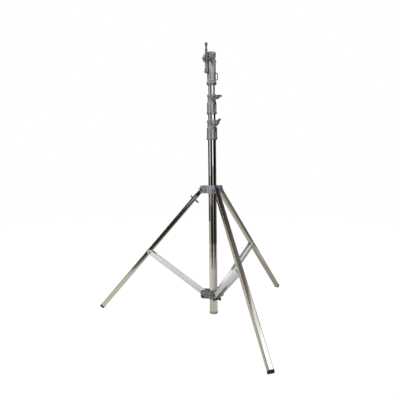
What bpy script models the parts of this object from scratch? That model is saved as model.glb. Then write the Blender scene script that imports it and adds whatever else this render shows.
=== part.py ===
"""Folding studio stand: a three-section chromed steel column on a tripod base.

The column tube carries two telescoping risers, each clamped by a cast collar
with a wing screw. A cast head on the top riser has an upright socket and a
folding side arm with a short stud. Three square legs hang from a pressed
bracket that slides on the column, and three channel braces join them to a
fixed bracket at the column's foot. One leg slides on an inner bar, so that
the stand can be levelled on steps.

Units are metres. +Z is up, the column's axis is X = Y = 0 and the feet stand
on Z = 0. Azimuths are degrees about +Z, measured from -Y towards +X.
"""

import math

import bmesh
import bpy
from mathutils import Matrix, Vector

# Fits
GAP = 0.0003
PIVOT_PLAY = 0.0003
SLIDE_PLAY = 0.0003

# Column and risers
COLUMN_RADIUS = 0.0225
COLUMN_WALL = 0.0020
RISER_1_RADIUS = 0.0200
RISER_1_WALL = 0.0018
RISER_2_RADIUS = 0.0175
RISER_2_WALL = 0.0018
COLUMN_FOOT_Z = 0.0105
RISER_1_FOOT_Z = 0.1200
RISER_2_FOOT_Z = 0.1900
TUBE_SEGMENTS = 32

# End plug of the column
PLUG_LIP_RADIUS = 0.0245
PLUG_LIP_HEIGHT = 0.0120
PLUG_SPIGOT_LENGTH = 0.0350
PLUG_WALL = 0.0050

# Guide bushes in the risers' lower ends
GUIDE_FLANGE_HEIGHT = 0.0060
GUIDE_SPIGOT_LENGTH = 0.0160
GUIDE_WALL = 0.0030

# Clamp collars
COLLAR_HEIGHT = 0.1075
COLLAR_TUBE_DEPTH = 0.0580
COLLAR_WALL = 0.0026
COLLAR_SLEEVE_WALL = 0.0057
COLLAR_FLANGE = 0.0015
COLLAR_FLANGE_HEIGHT = 0.0130
COLLAR_WAIST_BOTTOM = 0.0640
COLLAR_BEAD_HEIGHT = 0.0140
COLLAR_BEAD = 0.0020
COLLAR_BUSH_WALL = 0.0018
LOWER_COLLAR_Z = 0.9925
UPPER_COLLAR_STEP = 0.1385
UPPER_COLLAR_Z = LOWER_COLLAR_Z + UPPER_COLLAR_STEP
COLLAR_SCREW_HEIGHT = 0.0860
COLLAR_BOSS_RADIUS = 0.0110
COLLAR_BOSS_REACH = 0.0360
COLLAR_PAD_WIDTH = 0.0180
COLLAR_PAD_LIFT = 0.0016
COLLAR_PAD_TOP = 0.0680
COLLAR_HANDLE_AZIMUTH = 35.0
UPPER_HANDLE_TILT = 17.0
LOWER_HANDLE_TILT = 47.0
CASTING_SEGMENTS = 24

# Clamp screws and wing handles
SCREW_RADIUS = 0.0040
HANDLE_HUB_RADIUS = 0.0085
HANDLE_HUB_LENGTH = 0.0165
HANDLE_BAR_THICKNESS = 0.0065
HANDLE_BAR_WIDTH = 0.0220
HANDLE_TIP_WIDTH = 0.0110
HANDLE_STANDOFF = 0.0020
COLLAR_BAR_HALF = 0.0350
ARM_BAR_HALF = 0.0210
ARM_BAR_WIDTH = 0.0085
BRACKET_BAR_HALF = 0.0280
LEVEL_BAR_HALF = 0.0310
LEVEL_BAR_WIDTH = 0.0100
PAD_THICKNESS = 0.0020

# Cast head on the top riser
HEAD_STEP = 0.1555
HEAD_Z = UPPER_COLLAR_Z + HEAD_STEP
HEAD_HEIGHT = 0.1745
HEAD_RADIUS = 0.0235
HEAD_BULGE = 0.0042
HEAD_BULGE_TOP = 0.0330
HEAD_NECK_DEPTH = 0.0022
HEAD_NECK_BOTTOM = HEAD_HEIGHT - 0.0525
HEAD_NECK_TOP = HEAD_HEIGHT - 0.0245
HEAD_RIM_GROOVE = HEAD_HEIGHT - 0.0145
HEAD_RISER_DEPTH = 0.0600
SOCKET_RADIUS = 0.0145
SOCKET_DEPTH = 0.0850
HEAD_SCREW_HEIGHT = HEAD_HEIGHT - 0.0375
HEAD_HANDLE_AZIMUTH = 7.0
HEAD_HANDLE_TILT = -58.0

# Safety loop on the head
LOOP_WIRE_RADIUS = 0.0025
LOOP_REACH = 0.0329
LOOP_TOP = 0.0640
LOOP_BOTTOM = 0.0245
LOOP_SEAT_DEPTH = 0.0040
LOOP_AZIMUTH = 90.0

# Side arm and its stud
ARM_AZIMUTH = -52.0
ARM_RADIUS = 0.0340
ARM_DEPTH = 0.0112
ARM_WIDTH = 0.0132
ARM_FORK_WIDTH = 0.0186
ARM_FORK_TOP = 0.0165
ARM_FORK_SLOT_TOP = 0.0125
ARM_PIVOT_RADIUS = 0.0360
ARM_PIVOT_HEIGHT = 0.0700
ARM_TOP_HEIGHT = HEAD_HEIGHT + 0.0065
ARM_EYE_RADIUS = 0.0078
ARM_SLOT_WIDTH = 0.0060
ARM_SLOT_DEPTH = 0.0040
ARM_PIN_RADIUS = 0.0030
ARM_REST_RADIUS = 0.0085
ARM_REST_CLEARANCE = 0.0008
LUG_THICKNESS = 0.0070
STUD_RADIUS = 0.0080
STUD_NECK_RADIUS = 0.0055
STUD_LENGTH = 0.0400
STUD_HEAD_LENGTH = 0.0150
STUD_SHANK_LENGTH = 0.0140

# Tripod geometry
FRONT_AZIMUTH = 19.5
LEG_STATION_STEP = 120.0
HUB_Z = 0.7165
HUB_RADIUS = 0.0620
LEG_SPREAD = 41.4
BASE_Z = 0.1165
BASE_RADIUS = 0.0395
BRACE_JOINT_ALONG = 0.4780
BRACE_JOINT_BELOW = 0.0070

# Legs
LEG_SIDE = 0.0250
LEG_WALL = 0.0020
LEG_CORNER = 0.0035
LEG_TOP_OVERHANG = 0.0110
FOOT_WALL = 0.0010
FOOT_CUP_DEPTH = 0.0045
FOOT_SOLE = 0.0070
FOOT_TREAD_CUT = 0.0035
LEVEL_BAR_LENGTH = 0.4200
LEVEL_TUBE_TOP = 0.0420
LEVEL_SCREW_ALONG = 0.0740
LEVEL_BOSS_RADIUS = 0.0100
LEVEL_BOSS_LENGTH = 0.0080

# Braces
BRACE_WALL = 0.0020
BRACE_DEPTH = 0.0250
BRACE_WEB_SHARE = 0.3800
BRACE_WEB_START = 0.0200
BRACE_SIDE_PLAY = 0.0005
STOP_ALONG = 0.0126
STOP_CLEARANCE = 0.0006
STOP_HEAD_RADIUS = 0.0065
STOP_HEAD_HEIGHT = 0.0050

# Pressed brackets
PLATE_THICKNESS = 0.0025
PLATE_SIDE_PLAY = 0.0006
SLEEVE_WALL = 0.0025
SLEEVE_HEIGHT = 0.0500
HUB_PLATE_TOP = 0.0245
HUB_PLATE_BOTTOM = 0.0190
HUB_PLATE_LOBE = 0.0260
HUB_PLATE_REACH = 0.0080
BASE_PLATE_TOP = 0.0300
BASE_PLATE_BOTTOM = 0.0185
BASE_PLATE_LOBE = 0.0220
BASE_PLATE_REACH = 0.0325
STOP_TAB_LENGTH = 0.0100
RIB_HEIGHT = 0.0014
RIB_START = 0.0175

# Pivot bolts
BOLT_RADIUS = 0.0040
BOLT_HEAD_RADIUS = 0.0075
BOLT_HEAD_HEIGHT = 0.0045
BOLT_SEGMENTS = 10

STATIONS = (
    ("front", FRONT_AZIMUTH),
    ("rear", FRONT_AZIMUTH + LEG_STATION_STEP),
    ("level", FRONT_AZIMUTH - LEG_STATION_STEP),
)


# Scene and materials
def clear_scene():
    for obj in list(bpy.data.objects):
        bpy.data.objects.remove(obj, do_unlink=True)


def make_material(name, colour, roughness, metallic):
    material = bpy.data.materials.new(name)
    material.use_nodes = True
    shader = material.node_tree.nodes["Principled BSDF"]
    shader.inputs["Base Color"].default_value = (*colour, 1.0)
    shader.inputs["Roughness"].default_value = roughness
    shader.inputs["Metallic"].default_value = metallic
    return material


def make_materials():
    return {
        "chrome": make_material("chrome", (0.62, 0.61, 0.58), 0.12, 1.0),
        "leg_chrome": make_material("leg_chrome", (0.56, 0.54, 0.48), 0.22, 1.0),
        "casting": make_material("casting", (0.36, 0.38, 0.39), 0.45, 0.3),
        "zinc": make_material("zinc", (0.30, 0.34, 0.40), 0.35, 0.9),
        "brace": make_material("brace", (0.52, 0.53, 0.51), 0.50, 0.5),
        "steel": make_material("steel", (0.45, 0.45, 0.44), 0.35, 1.0),
        "black_steel": make_material("black_steel", (0.03, 0.03, 0.03), 0.45, 0.6),
        "brass": make_material("brass", (0.60, 0.42, 0.16), 0.35, 1.0),
        "nylon": make_material("nylon", (0.05, 0.05, 0.055), 0.55, 0.0),
        "rubber": make_material("rubber", (0.02, 0.02, 0.02), 0.80, 0.0),
        "end_cap": make_material("end_cap", (0.45, 0.43, 0.38), 0.40, 0.6),
    }


def smooth(mesh):
    mesh.shade_smooth()
    mesh.set_sharp_from_angle(angle=math.radians(35.0))


def add_mesh_object(name, bm, material, parent=None):
    """Closes a bmesh into an object that carries one material."""
    bmesh.ops.remove_doubles(bm, verts=bm.verts, dist=1e-6)
    bmesh.ops.recalc_face_normals(bm, faces=bm.faces)
    mesh = bpy.data.meshes.new(name)
    bm.to_mesh(mesh)
    bm.free()
    smooth(mesh)
    mesh.materials.append(material)
    obj = bpy.data.objects.new(name, mesh)
    bpy.context.scene.collection.objects.link(obj)
    obj.parent = parent
    return obj


def as_helper(obj):
    """Marks an object as a tool that shapes another one."""
    obj.hide_render = True
    obj.display_type = "WIRE"
    return obj


def combine(target, helper, operation):
    as_helper(helper)
    modifier = target.modifiers.new(operation.lower(), "BOOLEAN")
    modifier.object = helper
    modifier.operation = operation
    modifier.solver = "EXACT"


def cut(target, helper):
    combine(target, helper, "DIFFERENCE")


def join(target, helper):
    combine(target, helper, "UNION")


def add_frame(name, location=(0.0, 0.0, 0.0), turn=(0.0, 0.0, 0.0), parent=None):
    """An empty that places what it carries; the turn is in degrees about X, Y and Z."""
    empty = bpy.data.objects.new(name, None)
    bpy.context.scene.collection.objects.link(empty)
    empty.location = location
    empty.rotation_euler = [math.radians(angle) for angle in turn]
    empty.parent = parent
    return empty


def radial_frame(name, azimuth, height=0.0, parent=None):
    """A frame on the column's axis whose X points out along an azimuth."""
    return add_frame(name, (0.0, 0.0, height), (0.0, 0.0, azimuth - 90.0), parent)


# Basic forms
ALONG_X = Matrix.Rotation(math.radians(90.0), 4, "Y")
ALONG_Y = Matrix.Rotation(math.radians(-90.0), 4, "X")


def revolve(name, profile, segments, material, parent=None, closed=False, along=None):
    """Spins a profile of (radius, height) points about Z, then turns it along X or Y."""
    bm = bmesh.new()
    verts = [bm.verts.new((radius, 0.0, height)) for radius, height in profile]
    pairs = list(zip(verts, verts[1:]))
    if closed:
        pairs.append((verts[-1], verts[0]))
    edges = [bm.edges.new(pair) for pair in pairs]
    bmesh.ops.spin(
        bm,
        geom=verts + edges,
        cent=(0.0, 0.0, 0.0),
        axis=(0.0, 0.0, 1.0),
        angle=math.tau,
        steps=segments,
        use_merge=True,
    )
    if along is not None:
        bmesh.ops.transform(bm, matrix=along, verts=bm.verts)
    return add_mesh_object(name, bm, material, parent)


def tube(name, radius, wall, bottom, top, segments, material, parent=None):
    inner = radius - wall
    profile = [(inner, bottom), (inner, top), (radius, top), (radius, bottom)]
    return revolve(name, profile, segments, material, parent, closed=True)


def rod(name, radius, start, end, segments, material, parent=None, along=None):
    profile = [(0.0, start), (radius, start), (radius, end), (0.0, end)]
    return revolve(name, profile, segments, material, parent, along=along)


def slab(name, outline, start, end, axis, material, parent=None):
    """Extrudes a closed outline of two coordinates along the third axis."""
    place = {
        "X": lambda u, v, w: (w, u, v),
        "Y": lambda u, v, w: (u, w, v),
        "Z": lambda u, v, w: (u, v, w),
    }[axis]
    bm = bmesh.new()
    base = bm.faces.new([bm.verts.new(place(u, v, start)) for u, v in outline])
    raised = bmesh.ops.extrude_face_region(bm, geom=[base])
    moved = [item for item in raised["geom"] if isinstance(item, bmesh.types.BMVert)]
    bmesh.ops.translate(bm, verts=moved, vec=place(0.0, 0.0, end - start))
    return add_mesh_object(name, bm, material, parent)


def arc(centre, radius, start, end, steps):
    """Points on an arc, in degrees, both ends included."""
    points = []
    for step in range(steps + 1):
        angle = math.radians(start + (end - start) * step / steps)
        points.append(
            (centre[0] + radius * math.cos(angle), centre[1] + radius * math.sin(angle))
        )
    return points


def rounded_square(half, corner, steps=2):
    points = []
    inset = half - corner
    for quarter in range(4):
        start = 90.0 * quarter
        middle = math.radians(start + 45.0)
        centre = (
            math.copysign(inset, math.cos(middle)),
            math.copysign(inset, math.sin(middle)),
        )
        points += arc(centre, corner, start, start + 90.0, steps)
    return points


def square_tube(name, side, wall, corner, bottom, top, material, parent=None):
    outer = rounded_square(side / 2, corner)
    inner = rounded_square(side / 2 - wall, corner - wall)
    bm = bmesh.new()
    rings = []
    for outline in (outer, inner):
        for height in (bottom, top):
            rings.append([bm.verts.new((x, y, height)) for x, y in outline])
    for first, second in ((0, 1), (1, 3), (3, 2), (2, 0)):
        for here in range(len(outer)):
            after = (here + 1) % len(outer)
            bm.faces.new(
                (
                    rings[first][here],
                    rings[first][after],
                    rings[second][after],
                    rings[second][here],
                )
            )
    return add_mesh_object(name, bm, material, parent)


# Clamp screws and handles: the spin axis is the local X, the bar lies along Y
def handle_outline(half_length, width):
    """A bar that narrows from the hub to round tips, seen along the screw."""
    points = []
    tip = min(HANDLE_TIP_WIDTH, width * 0.85) / 2
    shoulder = half_length - tip
    for side in (1.0, -1.0):
        turn = 0.0 if side > 0 else 180.0
        points += arc((side * shoulder, 0.0), tip, turn - 72.0, turn + 72.0, 3)
        middle = tip + (width / 2 - tip) * 0.3
        points.append((side * shoulder * 0.6, side * middle))
        points.append((side * HANDLE_HUB_RADIUS, side * width / 2))
        points.append((-side * HANDLE_HUB_RADIUS, side * width / 2))
        points.append((-side * shoulder * 0.6, side * middle))
    return points


def wing_handle(name, half_length, start, material, parent, width=HANDLE_BAR_WIDTH):
    """A cast wing handle whose hub starts at a distance along the screw's axis."""
    end = start + HANDLE_HUB_LENGTH
    crown = 0.0030
    profile = [
        (0.0, start),
        (HANDLE_HUB_RADIUS, start),
        (HANDLE_HUB_RADIUS, end - crown),
        (HANDLE_HUB_RADIUS - crown, end),
        (0.0, end),
    ]
    handle = revolve(name, profile, 12, material, parent, along=ALONG_X)
    middle = start + HANDLE_HUB_LENGTH * 0.45
    bar = slab(
        name + "_bar",
        handle_outline(half_length, width),
        middle - HANDLE_BAR_THICKNESS / 2,
        middle + HANDLE_BAR_THICKNESS / 2,
        "X",
        material,
        parent,
    )
    join(handle, bar)
    return handle


def fixed_screw(handle, tip, start, parent, material):
    """Adds the threaded shank to a handle that is cast onto its screw."""
    shank = rod(
        handle.name + "_shank",
        SCREW_RADIUS,
        tip,
        start + HANDLE_HUB_LENGTH / 2,
        BOLT_SEGMENTS,
        material,
        parent,
        along=ALONG_X,
    )
    join(handle, shank)


def clamp_screw(prefix, tip, start, tilt, frame, paint, steel):
    """A loose screw with a wing handle on its outer end, both on one spin axis."""
    spin = add_frame(prefix + "_spin", turn=(tilt, 0.0, 0.0), parent=frame)
    seat = HANDLE_HUB_LENGTH * 0.7
    end = start + seat - GAP
    rod(prefix + "_screw", SCREW_RADIUS, tip, end, BOLT_SEGMENTS, steel, spin, along=ALONG_X)
    handle = wing_handle(prefix + "_handle", COLLAR_BAR_HALF, start, paint, spin)
    bore = rod(
        prefix + "_handle_bore",
        SCREW_RADIUS + GAP,
        start - 0.0010,
        start + seat,
        BOLT_SEGMENTS,
        steel,
        spin,
        along=ALONG_X,
    )
    cut(handle, bore)
    return spin


# Column
def build_column(mats):
    tube_bottom = COLUMN_FOOT_Z + PLUG_LIP_HEIGHT + GAP
    tube_top = LOWER_COLLAR_Z + COLLAR_TUBE_DEPTH
    tube(
        "column_tube",
        COLUMN_RADIUS,
        COLUMN_WALL,
        tube_bottom,
        tube_top,
        TUBE_SEGMENTS,
        mats["chrome"],
    )
    spigot = COLUMN_RADIUS - COLUMN_WALL - GAP
    lip_top = COLUMN_FOOT_Z + PLUG_LIP_HEIGHT
    spigot_top = lip_top + PLUG_SPIGOT_LENGTH
    profile = [
        (0.0, COLUMN_FOOT_Z),
        (PLUG_LIP_RADIUS - 0.0045, COLUMN_FOOT_Z),
        (PLUG_LIP_RADIUS - 0.0010, COLUMN_FOOT_Z + 0.0020),
        (PLUG_LIP_RADIUS, COLUMN_FOOT_Z + 0.0050),
        (PLUG_LIP_RADIUS - 0.0004, lip_top - 0.0020),
        (COLUMN_RADIUS, lip_top),
        (spigot, lip_top),
        (spigot, spigot_top),
        (spigot - PLUG_WALL, spigot_top),
        (spigot - PLUG_WALL, lip_top),
        (0.0, lip_top - 0.0020),
    ]
    revolve("column_foot_plug", profile, 20, mats["end_cap"])


def build_riser(name, radius, wall, outer_bore, bottom, top, parent, mats):
    tube(name + "_tube", radius, wall, bottom, top, TUBE_SEGMENTS, mats["chrome"], parent)
    spigot = radius - wall - GAP
    flange = outer_bore - SLIDE_PLAY
    inner = spigot - GUIDE_WALL
    flange_top = bottom - GAP
    profile = [
        (inner, flange_top - GUIDE_FLANGE_HEIGHT),
        (inner, bottom + GUIDE_SPIGOT_LENGTH),
        (spigot, bottom + GUIDE_SPIGOT_LENGTH),
        (spigot, flange_top),
        (flange, flange_top),
        (flange, flange_top - GUIDE_FLANGE_HEIGHT),
    ]
    revolve(name + "_guide_bush", profile, 20, mats["nylon"], parent, closed=True)


# Clamp collar: sits on a lower tube and clamps the riser that slides in it
def build_collar(prefix, base, tube_radius, riser_radius, tilt, parent, mats):
    seat = tube_radius + GAP
    sleeve = seat + COLLAR_SLEEVE_WALL
    flange = sleeve + COLLAR_FLANGE
    bush_inner = riser_radius + SLIDE_PLAY
    bush_outer = bush_inner + COLLAR_BUSH_WALL
    waist_bore = bush_outer + GAP
    waist = waist_bore + COLLAR_WALL
    bead = waist + COLLAR_BEAD
    top = base + COLLAR_HEIGHT
    bead_bottom = top - COLLAR_BEAD_HEIGHT
    outside = [
        (0.0, base),
        (flange - 0.0015, base),
        (flange, base + 0.0015),
        (flange, base + COLLAR_FLANGE_HEIGHT - 0.0015),
        (sleeve, base + COLLAR_FLANGE_HEIGHT),
        (sleeve, base + COLLAR_WAIST_BOTTOM - 0.0020),
        (waist, base + COLLAR_WAIST_BOTTOM + 0.0040),
        (waist, bead_bottom),
        (bead, bead_bottom + 0.0020),
        (bead, top - 0.0030),
        (bead - 0.0025, top),
        (0.0, top),
    ]
    collar = revolve(prefix + "_collar", outside, CASTING_SEGMENTS, mats["casting"], parent)

    screw_frame = radial_frame(
        prefix + "_collar_screw_axis", COLLAR_HANDLE_AZIMUTH, base + COLLAR_SCREW_HEIGHT, parent
    )
    boss_profile = [
        (0.0, waist_bore * 0.5),
        (COLLAR_BOSS_RADIUS + 0.0015, waist_bore * 0.5),
        (COLLAR_BOSS_RADIUS, COLLAR_BOSS_REACH),
        (0.0, COLLAR_BOSS_REACH),
    ]
    boss = revolve(
        prefix + "_collar_boss", boss_profile, 18, mats["casting"], screw_frame, along=ALONG_X
    )
    join(collar, boss)
    pad_bottom = COLLAR_FLANGE_HEIGHT - 0.0030 - COLLAR_SCREW_HEIGHT
    pad_top = COLLAR_PAD_TOP - COLLAR_SCREW_HEIGHT
    face = sleeve + COLLAR_PAD_LIFT
    pad_outline = [
        (waist_bore + 0.0010, pad_bottom),
        (face, pad_bottom),
        (face, pad_top - 0.0040),
        (face - 0.0040, pad_top),
        (waist_bore + 0.0010, pad_top),
    ]
    half_pad = COLLAR_PAD_WIDTH / 2
    pad_name = prefix + "_collar_flat"
    join(collar, slab(pad_name, pad_outline, -half_pad, half_pad, "Y", mats["casting"], screw_frame))

    shoulder = base + COLLAR_TUBE_DEPTH + GAP
    bush_floor = shoulder + 0.0040
    core = [
        (0.0, base - 0.0050),
        (seat, base - 0.0050),
        (seat, shoulder),
        (bush_inner, shoulder),
        (bush_inner, bush_floor),
        (waist_bore, bush_floor),
        (waist_bore, top + 0.0050),
        (0.0, top + 0.0050),
    ]
    cut(collar, revolve(prefix + "_collar_core", core, CASTING_SEGMENTS, mats["casting"], parent))
    screw_hole = rod(
        prefix + "_collar_screw_hole",
        SCREW_RADIUS + GAP,
        waist_bore * 0.5,
        COLLAR_BOSS_REACH + 0.0050,
        BOLT_SEGMENTS,
        mats["casting"],
        screw_frame,
        along=ALONG_X,
    )
    cut(collar, screw_hole)

    bush = tube(
        prefix + "_collar_bush",
        bush_outer,
        COLLAR_BUSH_WALL,
        bush_floor + GAP,
        top - 0.0010,
        24,
        mats["nylon"],
        parent,
    )
    window = rod(
        prefix + "_collar_bush_window",
        SCREW_RADIUS + 2 * GAP,
        bush_inner * 0.5,
        bush_outer + 0.0030,
        BOLT_SEGMENTS,
        mats["nylon"],
        screw_frame,
        along=ALONG_X,
    )
    cut(bush, window)
    pad_start = bush_inner + 0.0001
    rod(
        prefix + "_collar_brake_pad",
        SCREW_RADIUS - GAP,
        pad_start,
        pad_start + PAD_THICKNESS,
        BOLT_SEGMENTS,
        mats["brass"],
        screw_frame,
        along=ALONG_X,
    )
    clamp_screw(
        prefix + "_collar",
        pad_start + PAD_THICKNESS + GAP,
        COLLAR_BOSS_REACH + HANDLE_STANDOFF,
        tilt,
        screw_frame,
        mats["casting"],
        mats["steel"],
    )


# Head
def head_profile():
    neck = HEAD_RADIUS - HEAD_NECK_DEPTH
    bulge = HEAD_RADIUS + HEAD_BULGE
    rim = HEAD_RADIUS + 0.0010
    return [
        (0.0, 0.0),
        (HEAD_RADIUS - 0.0015, 0.0),
        (bulge - 0.0006, 0.0075),
        (bulge, 0.0100),
        (bulge, HEAD_BULGE_TOP - 0.0080),
        (HEAD_RADIUS, HEAD_BULGE_TOP),
        (HEAD_RADIUS, HEAD_NECK_BOTTOM),
        (neck, HEAD_NECK_BOTTOM + 0.0050),
        (neck, HEAD_NECK_TOP - 0.0020),
        (rim, HEAD_NECK_TOP),
        (rim, HEAD_RIM_GROOVE - 0.0020),
        (rim - 0.0018, HEAD_RIM_GROOVE),
        (rim, HEAD_RIM_GROOVE + 0.0020),
        (rim, HEAD_HEIGHT),
        (0.0, HEAD_HEIGHT),
    ]


def build_head(parent, mats):
    base = add_frame("head_base", (0.0, 0.0, HEAD_Z), parent=parent)
    head = revolve("head_casting", head_profile(), CASTING_SEGMENTS, mats["casting"], base)

    screw_frame = radial_frame("head_screw_axis", HEAD_HANDLE_AZIMUTH, HEAD_SCREW_HEIGHT, base)
    boss_profile = [
        (0.0, SOCKET_RADIUS * 0.5),
        (COLLAR_BOSS_RADIUS + 0.0015, SOCKET_RADIUS * 0.5),
        (COLLAR_BOSS_RADIUS, COLLAR_BOSS_REACH),
        (0.0, COLLAR_BOSS_REACH),
    ]
    join(head, revolve("head_boss", boss_profile, 18, mats["casting"], screw_frame, along=ALONG_X))

    arm_frame = radial_frame("arm_station", ARM_AZIMUTH, 0.0, base)
    rest_frame = add_frame("arm_rest_axis", (0.0, 0.0, HEAD_SCREW_HEIGHT), parent=arm_frame)
    rest_end = ARM_RADIUS - ARM_DEPTH / 2 - ARM_REST_CLEARANCE
    rest = rod(
        "head_arm_rest",
        ARM_REST_RADIUS,
        SOCKET_RADIUS + 0.0010,
        rest_end,
        14,
        mats["casting"],
        rest_frame,
        along=ALONG_X,
    )
    join(head, rest)
    lug_half = LUG_THICKNESS / 2
    lug_end = ARM_EYE_RADIUS - 0.0006
    lug_outline = [(HEAD_RADIUS * 0.8, ARM_PIVOT_HEIGHT - 0.0180)]
    lug_outline += arc((ARM_PIVOT_RADIUS, ARM_PIVOT_HEIGHT), lug_end, -60.0, 90.0, 6)
    lug_outline += [(HEAD_RADIUS * 0.8, ARM_PIVOT_HEIGHT + 0.0110)]
    lug = slab("head_lug", lug_outline, -lug_half, lug_half, "Y", mats["casting"], arm_frame)
    join(head, lug)
    riser_bore = RISER_2_RADIUS + GAP
    socket_floor = HEAD_HEIGHT - SOCKET_DEPTH
    drain = 0.0060
    core = [
        (0.0, -0.0050),
        (riser_bore, -0.0050),
        (riser_bore, HEAD_RISER_DEPTH + GAP),
        (drain, HEAD_RISER_DEPTH + GAP),
        (drain, socket_floor),
        (SOCKET_RADIUS, socket_floor),
        (SOCKET_RADIUS, HEAD_HEIGHT + 0.0050),
        (0.0, HEAD_HEIGHT + 0.0050),
    ]
    cut(head, revolve("head_core", core, CASTING_SEGMENTS, mats["casting"], base))

    screw_hole = rod(
        "head_screw_hole",
        SCREW_RADIUS + GAP,
        SOCKET_RADIUS * 0.5,
        COLLAR_BOSS_REACH + 0.0050,
        BOLT_SEGMENTS,
        mats["casting"],
        screw_frame,
        along=ALONG_X,
    )
    cut(head, screw_hole)

    pivot = add_frame("arm_pin_axis", (ARM_PIVOT_RADIUS, 0.0, ARM_PIVOT_HEIGHT), parent=arm_frame)
    pin_hole = rod(
        "head_pin_hole",
        ARM_PIN_RADIUS + PIVOT_PLAY,
        -0.0300,
        0.0300,
        BOLT_SEGMENTS,
        mats["casting"],
        pivot,
        along=ALONG_Y,
    )
    cut(head, pin_hole)
    loop_frame = radial_frame("loop_station", LOOP_AZIMUTH, 0.0, base)
    for height, label in ((LOOP_TOP, "upper"), (LOOP_BOTTOM + 0.0040, "lower")):
        seat = add_frame("loop_seat_" + label, (0.0, 0.0, height), parent=loop_frame)
        hole = rod(
            "head_loop_hole_" + label,
            LOOP_WIRE_RADIUS + GAP,
            HEAD_RADIUS - LOOP_SEAT_DEPTH - GAP,
            HEAD_RADIUS + 0.0100,
            8,
            mats["casting"],
            seat,
            along=ALONG_X,
        )
        cut(head, hole)
    build_safety_loop(loop_frame, mats)

    bolt(
        "arm_pin",
        ARM_FORK_WIDTH / 2 + GAP,
        ARM_PIN_RADIUS,
        0.0048,
        0.0018,
        mats["steel"],
        pivot,
    )
    clamp_screw(
        "head",
        SOCKET_RADIUS + 0.0010,
        COLLAR_BOSS_REACH + HANDLE_STANDOFF,
        HEAD_HANDLE_TILT,
        screw_frame,
        mats["casting"],
        mats["steel"],
    )
    return arm_frame


def build_safety_loop(frame, mats):
    """A bent rod whose two ends sit in the head's side."""
    start = HEAD_RADIUS - LOOP_SEAT_DEPTH
    top = LOOP_TOP
    bottom = LOOP_BOTTOM + 0.0040
    bend = 0.0060
    corner = LOOP_REACH - bend
    points = [(start, top), (corner - 0.0010, top)]
    points += arc((corner, top - bend), bend, 90.0, 0.0, 5)
    points += arc((corner, bottom + bend), bend, 0.0, -90.0, 5)
    points += [(corner - 0.0010, bottom), (start, bottom)]
    curve = bpy.data.curves.new("safety_loop", "CURVE")
    curve.dimensions = "3D"
    curve.bevel_depth = LOOP_WIRE_RADIUS
    curve.bevel_resolution = 2
    curve.use_fill_caps = True
    spline = curve.splines.new("POLY")
    spline.points.add(len(points) - 1)
    for point, (x, z) in zip(spline.points, points):
        point.co = (x, 0.0, z, 1.0)
    curve.materials.append(mats["steel"])
    loop = bpy.data.objects.new("safety_loop", curve)
    bpy.context.scene.collection.objects.link(loop)
    loop.parent = frame


def bolt(name, half_grip, radius, head_radius, head_height, material, parent):
    """A pin along Y with a head on each end, symmetric about the frame's centre."""
    end = half_grip + head_height
    crown = head_radius * 0.8
    profile = [
        (0.0, -end),
        (crown, -end),
        (head_radius, -half_grip),
        (radius, -half_grip),
        (radius, half_grip),
        (head_radius, half_grip),
        (crown, end),
        (0.0, end),
    ]
    return revolve(name, profile, BOLT_SEGMENTS, material, parent, along=ALONG_Y)


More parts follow.
